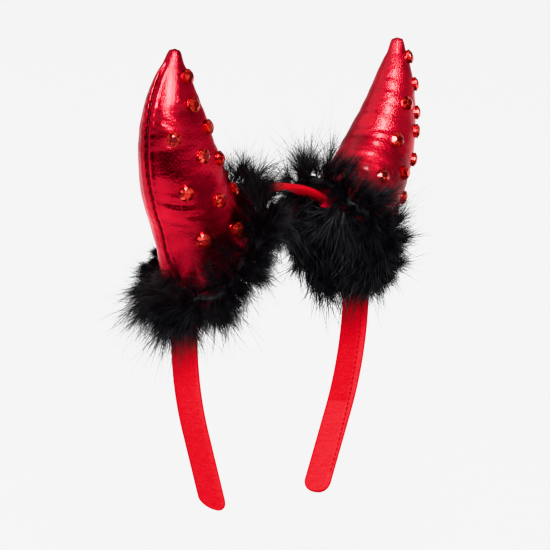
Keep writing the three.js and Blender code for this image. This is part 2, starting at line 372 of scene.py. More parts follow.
@dataclass(frozen=True)
class NapCloth:
    """Matt red cloth with a short nap, and the deeper cloth of the lining."""

    name: str = "nap_cloth"
    deep: tuple = (0.34, 0.0008, 0.005)
    light: tuple = (0.50, 0.0025, 0.010)
    lining_deep: tuple = (0.29, 0.0002, 0.004)
    lining_light: tuple = (0.42, 0.0006, 0.006)
    tone_range: tuple = (0.36, 0.58)
    nap_scale: float = 2600.0
    nap_detail: float = 4.0
    nap_share: float = 0.75
    nap_height: float = 0.00012
    nap_strength: float = 0.6
    strain_scale: float = 240.0
    strain_detail: float = 3.0
    strain_stretch: tuple = (1.0, 1.0, 5.0)
    roughness: float = 0.85
    specular: float = 0.15
    sheen: float = 0.08
    sheen_roughness: float = 0.5
    sheen_tint: tuple = (1.0, 0.25, 0.25)

    def make(self) -> bpy.types.Material:
        """Makes the finish.

        Returns:
            The material.
        """
        sheet = NodeSheet(self.name)
        nap = sheet.noise(sheet.places(), self.nap_scale, self.nap_detail)
        strained = sheet.places(scale=self.strain_stretch)
        strain = sheet.noise(strained, self.strain_scale, self.strain_detail)
        nap_part = sheet.math("MULTIPLY", nap, self.nap_share)
        strain_part = sheet.math("MULTIPLY", strain, 1.0 - self.nap_share)
        tone = sheet.math("ADD", nap_part, strain_part)
        low, high = self.tone_range
        outer = sheet.ramp(tone, ((low, self.deep), (high, self.light)))
        inner = sheet.ramp(tone, ((low, self.lining_deep), (high, self.lining_light)))
        lined = sheet.add("Attribute", attribute_name="lining").outputs["Fac"]
        sheet.shade(
            {
                "Base Color": sheet.mix(lined, outer, inner),
                "Roughness": self.roughness,
                "Specular IOR Level": self.specular,
                "Sheen Weight": self.sheen,
                "Sheen Roughness": self.sheen_roughness,
                "Sheen Tint": (*self.sheen_tint, 1.0),
                "Normal": sheet.bump(nap, self.nap_height, self.nap_strength),
            }
        )
        return sheet.material


@dataclass(frozen=True)
class Lame:
    """Red metallic coated sheet with a fine leather grain and smoky patches, partly painted reflection."""

    name: str = "red_lame"
    smoke_and_reflection: tuple = (0.29, 0.005, 0.014)
    body: tuple = (0.51, 0.011, 0.028)
    bright: tuple = (0.69, 0.018, 0.038)
    edge: tuple = (1.0, 0.62, 0.65)
    tone_places: tuple = (0.40, 0.52, 0.72)
    smoke_and_reflection_scale: float = 0.075
    smoke_and_reflection_stretch: tuple = (0.5, 0.5, 1.0)
    fine_scale: float = 0.6
    fine_share: float = 0.12
    grain_scale: float = 1.0
    pore_scale: float = 2.6
    crease_scale: float = 1.0
    crease_stretch: tuple = (0.16, 0.16, 0.9)
    grain_height: float = 0.00011
    grain_strength: float = 0.6
    roughness: float = 0.23
    roughness_range: float = 0.14
    coat: float = 0.25
    coat_roughness: float = 0.18
    coat_ior: float = 1.6
    foot: tuple = (0.0, 1.0)
    foot_painted_shade_and_dull: float = 0.0

    def make(self) -> bpy.types.Material:
        """Makes the finish.

        Returns:
            The material.
        """
        sheet = NodeSheet(self.name)
        places = sheet.places("lie")
        # Random smoky patches, darker and brighter: partly painted reflection of the sheet's mirror image.
        streaks = sheet.places("lie", self.smoke_and_reflection_stretch)
        smoke_and_reflection = sheet.noise(streaks, self.smoke_and_reflection_scale, detail=2.0)
        fine = sheet.noise(places, self.fine_scale, detail=4.0)
        # Painted shade towards the foot: the tone falls to the darkest colour there; the roughness rises
        # too.
        along = sheet.add("SeparateXYZ", {"Vector": places}).outputs["Z"]
        low, high = self.foot
        foot = sheet.add("MapRange", {0: along, 1: low, 2: high, 3: self.foot_painted_shade_and_dull, 4: 0.0}).outputs[0]
        mix = sheet.math("ADD", smoke_and_reflection, sheet.math("MULTIPLY", fine, self.fine_share))
        mix = sheet.math("SUBTRACT", mix, foot)
        tones = zip(self.tone_places, (self.smoke_and_reflection, self.body, self.bright))
        colour = sheet.ramp(mix, tuple(tones))
        grain = sheet.add("TexVoronoi", {"Vector": places, "Scale": self.grain_scale}).outputs["Distance"]
        pores = sheet.noise(places, self.pore_scale, detail=2.0)
        creases = sheet.noise(sheet.places("lie", self.crease_stretch), self.crease_scale, detail=3.0)
        height = sheet.math("ADD", grain, sheet.math("ADD", pores, creases))
        dull = sheet.math("MULTIPLY_ADD", fine, self.roughness_range)
        dull.node.inputs[2].default_value = self.roughness - self.roughness_range / 2
        dull = sheet.math("ADD", dull, foot)
        sheet.shade(
            {
                "Base Color": colour,
                "Metallic": 1.0,
                "Roughness": dull,
                "Specular Tint": (*self.edge, 1.0),
                "Coat Weight": self.coat,
                "Coat Roughness": self.coat_roughness,
                "Coat IOR": self.coat_ior,
                "Normal": sheet.bump(height, self.grain_height, self.grain_strength),
            }
        )
        return sheet.material


@dataclass(frozen=True)
class CutStone:
    """Polished red stone; each facet gets a random depth of colour, painted reflection from inside it."""

    name: str = "cut_stone"
    dark: tuple = (0.14, 0.002, 0.003)
    body: tuple = (0.58, 0.014, 0.013)
    bright: tuple = (0.92, 0.11, 0.08)
    tone_places: tuple = (0.1, 0.5, 0.95)
    metallic: float = 0.85
    roughness: float = 0.08
    ior: float = 1.6
    coat: float = 0.5
    coat_roughness: float = 0.03

    def make(self) -> bpy.types.Material:
        """Makes the finish.

        Returns:
            The material.
        """
        sheet = NodeSheet(self.name)
        # Painted reflection: each facet's random tone stands in for light reflected inside the stone.
        facet = sheet.add("Attribute", attribute_name="facet").outputs["Fac"]
        tones = zip(self.tone_places, (self.dark, self.body, self.bright))
        sheet.shade(
            {
                "Base Color": sheet.ramp(facet, tuple(tones)),
                "Metallic": self.metallic,
                "Roughness": self.roughness,
                "IOR": self.ior,
                "Coat Weight": self.coat,
                "Coat Roughness": self.coat_roughness,
            }
        )
        return sheet.material


@dataclass(frozen=True)
class Down:
    """Soft black down."""

    name: str = "black_down"
    colour: tuple = (0.0125, 0.0125, 0.0132)
    lit: tuple = (0.036, 0.0355, 0.0375)
    tone_range: tuple = (0.4, 0.7)
    tone_scale: float = 260.0
    roughness: float = 0.6
    specular: float = 0.3

    def make(self) -> bpy.types.Material:
        """Makes the finish.

        Returns:
            The material.
        """
        sheet = NodeSheet(self.name)
        tone = sheet.noise(sheet.places(), self.tone_scale, detail=2.0)
        low, high = self.tone_range
        sheet.shade(
            {
                "Base Color": sheet.ramp(tone, ((low, self.colour), (high, self.lit))),
                "Roughness": self.roughness,
                "Specular IOR Level": self.specular,
            }
        )
        return sheet.material


@dataclass(frozen=True)
class Thread:
    """Dark red sewing thread."""

    name: str = "seam_thread"
    colour: tuple = (0.035, 0.0015, 0.004)
    light_gain: float = 1.8
    tone_range: tuple = (0.4, 0.6)
    twist_scale: float = 4000.0
    twist_height: float = 0.00008
    twist_strength: float = 0.5
    roughness: float = 0.7

    def make(self) -> bpy.types.Material:
        """Makes the finish.

        Returns:
            The material.
        """
        sheet = NodeSheet(self.name)
        twist = sheet.noise(sheet.places(), self.twist_scale, detail=1.0)
        light = tuple(self.light_gain * part for part in self.colour)
        low, high = self.tone_range
        sheet.shade(
            {
                "Base Color": sheet.ramp(twist, ((low, self.colour), (high, light))),
                "Roughness": self.roughness,
                "Normal": sheet.bump(twist, self.twist_height, self.twist_strength),
            }
        )
        return sheet.material


# Band


@dataclass(frozen=True)
class BandSizes:
    """Sizes of the band, in millimetres and degrees."""

    width: float = 12.6
    thickness: float = 2.4
    top_radius: float = 76.8
    top_turn: float = 45.0
    shoulder_radius: float = 39.5
    arm_radius: float = 114.0
    arm_turn: float = 25.4
    straight: float = 37.3
    tip_radius: float = 5.0
    tip_reach: float = 12.0
    edge_share: float = 0.5
    crown_power: int = 6
    flat_share: float = 0.955
    inner_edge: tuple = (0.5, 0.9)
    step: float = 0.9
    step_gap: float = 1.5
    fine_step: float = 0.22
    fine_reach: float = 1.2
    outer_points: int = 22
    inner_points: int = 50
    edge_points: int = 7
    tip_steps: int = 14
    seam_top: float = -3.7
    seam_end: float = -5.5
    seam_turn: float = 112.0
    seam_depth: float = 0.34
    seam_width: float = 0.34
    seam_stop: float = 2.0
    lining_rise: float = 0.12
    lining_edge: tuple = (-0.1, 0.5)
    patch_length: float = 41.0
    patch_rise: float = 0.20
    patch_edge: float = 0.25
    stitch: float = 1.5
    stitch_pitch: float = 2.3
    stitch_start: float = 92.0
    stitch_stop: float = 10.0
    stitch_points: int = 5
    stitch_sink: float = 0.6
    stitch_bow: float = 0.1
    thread: float = 0.15
    tip_shift: float = 2.2
    tip_skew: float = 0.12

    def crown(self, share: Array | float) -> Array:
        """Height of the section at shares of the half width, as shares of the half thickness."""
        return np.sqrt(1.0 - (1.0 - self.edge_share**2) * np.abs(share) ** self.crown_power)


class BandPath:
    """Centreline of the band in the XZ plane: three arcs and a straight end on each side."""

    def __init__(self, sizes: BandSizes) -> None:
        """Works out the arcs' centres, the turn at each joint and the length up to it.

        Args:
            sizes: The band's sizes.
        """
        turn = math.radians(sizes.top_turn)
        end = math.pi / 2 + math.radians(sizes.arm_turn)
        reach = sizes.top_radius - sizes.shoulder_radius
        top = np.array([0.0, sizes.thickness / 2 - sizes.top_radius])
        shoulder = top + reach * np.array([math.sin(turn), math.cos(turn)])
        arm = shoulder + np.array([sizes.shoulder_radius - sizes.arm_radius, 0.0])
        self.sizes = sizes
        self.centres = np.array([top, shoulder, arm])
        self.radii = np.array([sizes.top_radius, sizes.shoulder_radius, sizes.arm_radius])
        self.turns = np.array([0.0, turn, math.pi / 2, end])
        self.ends = np.concatenate([[0.0], np.cumsum(self.radii * np.diff(self.turns))])
        self.half_length = self.ends[-1] + sizes.straight

    def at(self, distance: Array) -> tuple[Array, Array]:
        """Points and outward directions.

        Args:
            distance: Distances from the top, positive to the wearer's left.

        Returns:
            Points on the centreline and unit vectors that point out of the band.
        """
        side = np.where(distance < 0, -1.0, 1.0)
        run = np.minimum(np.abs(distance), self.half_length)
        arc = np.clip(np.searchsorted(self.ends, run, side="right") - 1, 0, 2)
        bent = np.minimum(run, self.ends[-1])
        turn = self.turns[arc] + (bent - self.ends[arc]) / self.radii[arc]
        past = run - bent
        out = np.stack([np.sin(turn), np.zeros_like(turn), np.cos(turn)], -1)
        ahead = np.stack([np.cos(turn), np.zeros_like(turn), -np.sin(turn)], -1)
        centre = np.stack([self.centres[arc, 0], np.zeros_like(turn), self.centres[arc, 1]], -1)
        point = centre + self.radii[arc][..., None] * out + past[..., None] * ahead
        flip = np.stack([side, np.ones_like(side), np.ones_like(side)], -1)
        return point * flip, out * flip

    def height(self, points: Array, steps: int = 160) -> Array:
        """Heights of points over the centreline, measured in the plane of the band's curve.

        Args:
            points: Places, with the last axis of length 3.
            steps: How many steps each half of the centreline is read in.

        Returns:
            Heights in the shape of the places.
        """
        line, out = self.at(np.linspace(-self.half_length, self.half_length, 2 * steps + 1))
        flat = points.reshape(-1, 3)
        away = flat[:, None, [0, 2]] - line[None][..., [0, 2]]
        nearest = np.argmin((away**2).sum(-1), axis=1)
        rows = np.arange(len(flat))
        heights = (away[rows, nearest] * out[nearest][:, [0, 2]]).sum(-1)
        return heights.reshape(points.shape[:-1])

    def block(
        self, name: str, height: float, front: float, back: float, steps: int = 96
    ) -> bpy.types.Object:
        """Block that fills the inside of the band, up to a height over its centreline.

        Args:
            name: The block's name.
            height: Height of its side over the centreline.
            front: Its lowest Y.
            back: Its highest Y.
            steps: How many steps its side has along the band.

        Returns:
            The block, to cut other pieces with.
        """
        line, out = self.at(np.linspace(-self.half_length, self.half_length, steps + 1))
        edge = line + height * out
        count = len(edge)
        points = np.concatenate([edge + front * -FRONT, edge + back * -FRONT])
        faces = [tuple(reversed(range(count))), tuple(range(count, 2 * count))]
        for first in range(count):
            after = (first + 1) % count
            faces.append((first, after, count + after, count + first))
        return make_object(name, points, faces, smooth=False)


class WrappedBand:
    """The band with its cloth wrap, the seam of the lining and the two end patches."""

    def __init__(self, path: BandPath, finish: bpy.types.Material) -> None:
        """Keeps the band's path and finish.

        Args:
            path: The band's centreline.
            finish: The cloth.
        """
        self.path = path
        self.sizes = path.sizes
        self.finish = finish

    def stations(self) -> tuple[Array, Array]:
        """Distances from the top with the share of the width there, closest at ends and patches.

        Returns:
            Distances, and shares of the width.
        """
        sizes = self.sizes
        start = self.path.half_length - sizes.tip_radius
        turn = np.linspace(0.0, math.pi / 2, sizes.tip_steps + 1)[1:]
        edge = self.path.half_length - sizes.patch_length
        coarse = np.arange(0.0, start, sizes.step)
        coarse = coarse[np.abs(coarse - edge) > sizes.step_gap]
        fine = np.arange(edge - sizes.fine_reach, edge + sizes.fine_reach, sizes.fine_step)
        run = np.unique(np.concatenate([coarse, fine, [start]]))
        distance = np.concatenate([run, start + sizes.tip_radius * np.sin(turn)])
        lost = np.concatenate([np.zeros_like(run), sizes.tip_radius * (1 - np.cos(turn))])
        share = 1.0 - 2.0 * lost / sizes.width
        return np.concatenate([-distance[:0:-1], distance]), np.concatenate([share[:0:-1], share])

    def section(self) -> tuple[Array, Array]:
        """The section's points as shares of the half width and half thickness, outer face first.

        Returns:
            Shares across the band, and shares of its height.
        """
        sizes = self.sizes
        flat = sizes.flat_share
        outer = np.linspace(-flat, flat, sizes.outer_points)
        inner = np.linspace(flat, -flat, sizes.inner_points)
        turn = np.linspace(0.0, math.pi, sizes.edge_points + 2)[1:-1]
        bulge = flat + (1.0 - flat) * np.sin(turn)
        fall = sizes.crown(flat) * np.cos(turn)
        across = np.concatenate([outer, bulge, inner, -bulge])
        high = np.concatenate([sizes.crown(outer), fall, -sizes.crown(inner), -fall])
        return across, high

    def seam(self, run: Array) -> Array:
        """Y of the lining's seam, which nears the front edge towards the end.

        Args:
            run: Distances from the top, without their sign.

        Returns:
            Places across the band.
        """
        sizes = self.sizes
        near_end = ease(run, sizes.seam_turn, self.path.half_length - sizes.tip_reach)
        return blend(sizes.seam_top, sizes.seam_end, near_end)

    def covers(self, run: Array, across: Array) -> tuple[Array, Array]:
        """How far the lining and the end patch cover each point of the inner face, from 0 to 1.

        Args:
            run: Distances from the top, without their sign.
            across: Y of each point.

        Returns:
            The lining's cover, and the patch's.
        """
        sizes = self.sizes
        edge = self.path.half_length - sizes.patch_length
        lining = ease(across - self.seam(run), *sizes.lining_edge)
        return lining, lining * ease(run, edge - sizes.patch_edge, edge + sizes.patch_edge)

    def relief(self, run: Array, across: Array) -> Array:
        """Height of the lining, its seam and the end patch on the inner face.

        Args:
            run: Distance of each point from the top, without its sign.
            across: Y of each point.

        Returns:
            Heights towards the head.
        """
        sizes = self.sizes
        lining, patch = self.covers(run, across)
        groove = sizes.seam_depth * bell(across, self.seam(run), sizes.seam_width)
        groove *= ease(self.path.half_length - run, sizes.seam_stop, sizes.tip_reach)
        return sizes.lining_rise * lining + sizes.patch_rise * patch - groove

    def build(self) -> bpy.types.Object:
        """Builds the band as one closed skin, with one end cut a little aslant.

        Returns:
            The band.
        """
        sizes = self.sizes
        distance, share = self.stations()
        across, high = self.section()
        line, out = self.path.at(distance)
        wide = sizes.width / 2 * across[None, :] * share[:, None]
        tall = sizes.thickness / 2 * high[None, :]
        inner = ease(-high, *sizes.inner_edge)[None, :]
        run = np.abs(distance)[:, None] + np.zeros_like(wide)
        lining, patch = self.covers(run, wide)
        tall = tall - inner * self.relief(run, wide)
        end = self.path.half_length
        aslant = (distance < 0) * ease(np.abs(distance), end - sizes.tip_reach, end)
        ahead = -unit(np.gradient(line, distance, axis=0))
        points = line[:, None, :] + tall[..., None] * out[:, None, :]
        points += (-sizes.tip_skew * aslant[:, None] * wide)[..., None] * ahead[:, None, :]
        points[..., 1] = wide - sizes.tip_shift * (aslant * (1.0 - share))[:, None]
        rows, columns = wide.shape
        faces = [face[::-1] for face in ring_faces(rows, columns)]
        faces.append(tuple(range(columns)))
        faces.append(tuple(reversed(range((rows - 1) * columns, rows * columns))))
        obj = make_object("band_wrap", points, faces)
        layer = obj.data.attributes.new("lining", "FLOAT", "POINT")
        layer.data.foreach_set("value", (inner * (lining - patch)).ravel())
        enlist(obj, self.finish, ["band"])
        return obj

    def build_stitches(self, finish: bpy.types.Material) -> bpy.types.Object:
        """Builds the stitches of the lining's seam along both arms as one mesh of short rods.

        Args:
            finish: The thread.

        Returns:
            The stitches.
        """
        sizes = self.sizes
        last = self.path.half_length - sizes.stitch_stop
        starts = np.arange(sizes.stitch_start, last, sizes.stitch_pitch)
        bow = np.linspace(0.0, 1.0, sizes.stitch_points)
        run = starts[:, None] + sizes.stitch * bow
        run = np.concatenate([run, -run])
        line, out = self.path.at(run)
        seam = self.seam(np.abs(run))
        high = sizes.thickness / 2 * sizes.crown(2.0 * seam / sizes.width)
        sunk = sizes.stitch_sink * sizes.seam_depth
        depth = high - sunk + sizes.stitch_bow * np.sin(math.pi * bow)
        line = line - depth[..., None] * out
        line[..., 1] = seam
        points, faces = rods(line, -out, sizes.thread)
        obj = make_object("band_stitches", points, [face[::-1] for face in faces])
        enlist(obj, finish)
        return obj


# Horns, worked out on the wearer's left


@dataclass(frozen=True)
class HornSizes:
    """Sizes of a horn, in millimetres and degrees."""

    base_x: float = 47.4
    base_z: float = -20.0
    base_tilt: float = 55.2
    tip_tilt: float = -5.2
    length: float = 94.1
    forward: float = 3.9
    roll: float = -30.2
    skirt: float = 16.0
    tip_rise: float = 0.8
    ridge_angle: float = 12.0
    ridge_rise: float = 1.1
    ridge_spread: float = 15.0
    ridge_fade: float = 0.2
    seam_angle: float = 21.0
    seam_swing: float = 20.0
    seam_swing_share: float = 0.22
    outer_angle: float = 30.0
    toe: float = 9.5
    toe_share: float = 0.3
    heel: float = 2.5
    tuck: float = 0.0
    straddle_front: float = 5.0
    straddle_back: float = 9.0
    gap: float = 0.3
    shares: tuple = (0.0, 0.15, 0.3, 0.5, 0.7, 0.88, 0.97, 0.995)
    across: tuple = (21.4, 19.0, 18.6, 17.1, 13.7, 7.6, 3.2, 2.0)
    deep: tuple = (22.4, 19.8, 17.4, 15.0, 11.0, 6.3, 3.1, 2.1)


HORN_SIZES = {Side.RIGHT: HornSizes(), Side.LEFT: HornSizes(tuck=6.0)}


class HornForm:
    """The horn's smooth outer form, before seams and creases."""

    # Steps that the surface's direction is measured over, and the distance given to all past the tip
    angle_step: float = 3.0
    share_step: float = 0.01
    past_tip: float = 2.0

    def __init__(self, sizes: HornSizes) -> None:
        """Works out the bend of the axis and the slopes of the section sizes.

        Args:
            sizes: The horn's sizes.
        """
        self.sizes = sizes
        self.start = math.radians(sizes.base_tilt)
        self.bend = math.radians(sizes.tip_tilt - sizes.base_tilt) / sizes.length
        self.knots = np.array(sizes.shares)
        self.halves = np.stack([sizes.across, sizes.deep], -1)
        gaps = np.diff(self.knots)[:, None]
        rise = np.diff(self.halves, axis=0) / gaps
        middle = (rise[:-1] * gaps[1:] + rise[1:] * gaps[:-1]) / (gaps[1:] + gaps[:-1])
        self.slopes = np.concatenate([rise[:1], middle, rise[-1:]])

    def frame(self, share: Array) -> tuple[Array, Array, Array]:
        """Centre, axis and outer direction at shares of the length; below 0 the axis runs straight on.

        Args:
            share: Shares of the length.

        Returns:
            Points, and two unit vectors at each of them.
        """
        sizes = self.sizes
        above = np.maximum(share, 0.0)
        tilt = self.start + self.bend * above * sizes.length
        zero = np.zeros_like(tilt)
        centre = np.stack(
            [
                sizes.base_x + (math.cos(self.start) - np.cos(tilt)) / self.bend,
                -sizes.forward * above,
                sizes.base_z + (np.sin(tilt) - math.sin(self.start)) / self.bend,
            ],
            -1,
        )
        axis = np.stack([np.sin(tilt), zero, np.cos(tilt)], -1)
        outer = np.stack([np.cos(tilt), zero, -np.sin(tilt)], -1)
        below = np.minimum(share, 0.0) * sizes.length
        return centre + axis * below[..., None], axis, outer

    def halves_at(self, share: Array) -> tuple[Array, Array]:
        """Half sizes of the section, across and deep.

        Args:
            share: Shares of the length.

        Returns:
            Half sizes in millimetres.
        """
        inside = np.clip(share, self.knots[0], self.knots[-1])
        span = np.clip(np.searchsorted(self.knots, inside, side="right") - 1, 0, len(self.knots) - 2)
        gap = (self.knots[span + 1] - self.knots[span])[..., None]
        part = ((inside - self.knots[span]) / gap[..., 0])[..., None]
        low, high = self.halves[span], self.halves[span + 1]
        slope_low, slope_high = self.slopes[span] * gap, self.slopes[span + 1] * gap
        curve = low + part * slope_low
        curve += part**2 * (3 * (high - low) - 2 * slope_low - slope_high)
        curve += part**3 * (2 * (low - high) + slope_low + slope_high)
        return curve[..., 0], curve[..., 1]

    def seam(self, share: Array) -> Array:
        """Angle of the seam, which swings to the front near the foot."""
        sizes = self.sizes
        return sizes.seam_angle + sizes.seam_swing * (1.0 - ease(share, 0.0, sizes.seam_swing_share))

    def stretch(self, share: Array, angle: Array) -> Array:
        """How far the foot is drawn out at its outer and inner ends, and tucked in at the back.

        Args:
            share: Shares of the length.
            angle: Angles round the axis in degrees.

        Returns:
            Distances away from the axis.
        """
        sizes = self.sizes
        turn = np.radians(angle - sizes.outer_angle)
        facing = np.cos(turn)
        back = np.maximum(-np.sin(turn), 0.0)
        low = 1.0 - ease(share, 0.0, sizes.toe_share)
        return low * (facing**4 * np.where(facing > 0, sizes.toe, sizes.heel) - sizes.tuck * back**2)

    def point(self, share: Array, angle: Array) -> Array:
        """Points on the side; the seam is at angle 21 over the foot and the front is at 120.

        Args:
            share: Shares of the length.
            angle: Angles round the axis in degrees.

        Returns:
            Points on the wearer's left.
        """
        sizes = self.sizes
        centre, _, outer = self.frame(share)
        across, deep = self.halves_at(share)
        fade = ease(1.0 - share, 0.0, sizes.ridge_fade)
        ridge = sizes.ridge_rise * fade * bell(angle, sizes.ridge_angle, sizes.ridge_spread)
        drawn = ridge + self.stretch(share, angle)
        side = (across + drawn) * np.cos(np.radians(angle))
        ahead = (deep + drawn) * np.sin(np.radians(angle))
        roll = math.radians(sizes.roll)
        out = side * math.cos(roll) - ahead * math.sin(roll)
        forth = side * math.sin(roll) + ahead * math.cos(roll)
        return centre + out[..., None] * outer + forth[..., None] * FRONT

    def normal(self, share: Array, angle: Array) -> Array:
        """Outward directions of the side.

        Args:
            share: Shares of the length.
            angle: Angles round the axis in degrees.

        Returns:
            Unit vectors.
        """
        turn, step = self.angle_step, self.share_step
        around = self.point(share, angle + turn) - self.point(share, angle - turn)
        along = self.point(share + step, angle) - self.point(share - step, angle)
        return unit(np.cross(along, around))

    def locate(self, points: Array) -> tuple[Array, Array, Array]:
        """Finds points against the horn.

        Args:
            points: Places on the wearer's left.

        Returns:
            Shares of the length, angles, and distances from the axis, where 1 is on the horn's side.
        """
        sizes = self.sizes
        radius = -1.0 / self.bend
        hub_x = sizes.base_x - radius * math.cos(self.start)
        hub_z = sizes.base_z + radius * math.sin(self.start)
        tilt = np.arctan2(hub_z - points[..., 2], points[..., 0] - hub_x)
        share = (tilt - self.start) / self.bend / sizes.length
        centre, _, outer = self.frame(np.clip(share, 0.0, 1.0))
        away = points - centre
        out = (away * outer).sum(-1)
        forth = (away * FRONT).sum(-1)
        roll = math.radians(sizes.roll)
        side = out * math.cos(roll) + forth * math.sin(roll)
        ahead = -out * math.sin(roll) + forth * math.cos(roll)
        across, deep = self.halves_at(share)
        angle = np.degrees(np.arctan2(ahead, side)) % FULL_TURN
        drawn = self.stretch(share, angle)
        ratio = np.hypot(side / (across + drawn), ahead / (deep + drawn))
        return share, angle, np.where(share > 1.0, self.past_tip, ratio)


@dataclass(frozen=True)
class HornDetail:
    """Net and relief of a horn's skin, in millimetres and degrees."""

    rows: int = 178
    crowding: float = 0.45
    seam_columns: int = 56
    seam_reach: float = 9.5
    columns: int = 140
    groove: float = 1.0
    groove_width: float = 0.42
    rim: float = 0.34
    rim_place: float = 1.7
    rim_width: float = 0.85
    back_rim: float = 0.22
    back_rim_place: float = -1.2
    back_rim_width: float = 0.7
    seam_fade: tuple = (0.03, 0.12)
    pucker: float = 0.12
    pucker_pitch: float = 3.1
    pucker_reach: float = 2.6
    pucker_shift: float = 1.5
    pucker_waver: Waver = Waver(0.1, 0.1, 3.0)
    dent: float = 0.30
    dent_waver: Waver = Waver(0.045, 0.13, 8.0)
    ripple: float = 0.22
    ripple_waver: Waver = Waver(0.05, 0.21, 14.0)
    crease: float = 0.20
    crease_waver: Waver = Waver(0.12, 0.45, 31.0)
    crease_patch: tuple = (-0.25, 0.35)
    patch_waver: Waver = Waver(0.06, 0.06, 21.0)
    taut: float = 0.6
    taut_run: tuple = (0.25, 0.6)
    gather: float = 0.16
    gather_pitch: float = 6.6
    gather_angle: float = 198.0
    gather_spread: float = 42.0
    gather_run: tuple = (0.15, 0.3)
    gather_shift: float = 3.0
    gather_waver: Waver = Waver(0.06, 0.09, 44.0)
    tip_fade: tuple = (0.02, 0.2)
    knob: float = 0.25
    knob_place: float = 0.985
    neck_place: float = 0.935
    knob_width: float = 0.02
    stitch: float = 2.2
    pitch: float = 3.1
    stitch_start: float = 4.0
    stitch_points: int = 9
    stitch_bow: float = 0.16
    stitched_share: float = 0.86
    thread: float = 0.24
    thread_depth: float = 0.45
    lay_radius: float = 18.0
    cut_reach: float = 60.0
    sharp_angle: float = 60.0


@dataclass(frozen=True)
class Fold:
    """A short fold across the skin: its place, its reach to each side in degrees, and its depth."""

    share: float
    angle: float
    reach: float
    depth: float
    width: float = 1.1
    lean: float = 0.1
    swell: float = 0.5
    swell_place: float = 2.2

    def height(self, along: Array, angle: Array, length: float) -> Array:
        """Heights of the fold and of the swelling on both of its sides.

        Args:
            along: Distances along the horn.
            angle: Angles round the axis in degrees.
            length: The horn's length.

        Returns:
            Heights along the normal.
        """
        turn = wrap(angle - self.angle)
        off = along - length * self.share + self.lean * turn
        sides = self.swell * bell(np.abs(off), self.swell_place * self.width, self.width)
        return self.depth * (sides - bell(off, 0.0, self.width)) * bell(turn, 0.0, self.reach)


# Folds that show from the front, each by share of the length, angle, reach and depth
FOLDS = {
    Side.RIGHT: (
        Fold(0.392, 50.0, 20.0, 0.50),
        Fold(0.325, 72.0, 22.0, 0.28),
        Fold(0.280, 55.0, 24.0, 0.24),
        Fold(0.235, 74.0, 20.0, 0.26),
        Fold(0.700, 62.0, 18.0, 0.16),
    ),
    Side.LEFT: (
        Fold(0.860, 196.0, 30.0, 0.12, 1.2),
        Fold(0.700, 194.0, 30.0, 0.12, 1.0),
        Fold(0.505, 188.0, 24.0, 0.16, 1.2),
        Fold(0.340, 194.0, 24.0, 0.20, 1.2),
    ),
}

# Where the left horn starts on the straightened skin, so that its patterns differ from the right one's
LEFT_START = 500.0

# The near horn's sheet is a darker copy of the same sheet: its lower body and bright tones are painted
# shade.
HORN_FINISHES = {
    Side.RIGHT: Lame(
        name="smooth_painted_darker_lame",
        body=(0.46, 0.010, 0.025),
        bright=(0.66, 0.017, 0.037),
        roughness=0.18,
        coat=0.22,
        coat_roughness=0.14,
    ),
    Side.LEFT: Lame(
        name="grained_lame",
        roughness=0.34,
        coat=0.4,
        grain_height=0.00020,
        # Painted shade and more roughness towards this horn's foot.
        foot=(LEFT_START + 26.0, LEFT_START + 50.0),
        foot_painted_shade_and_dull=0.24,
    ),
}


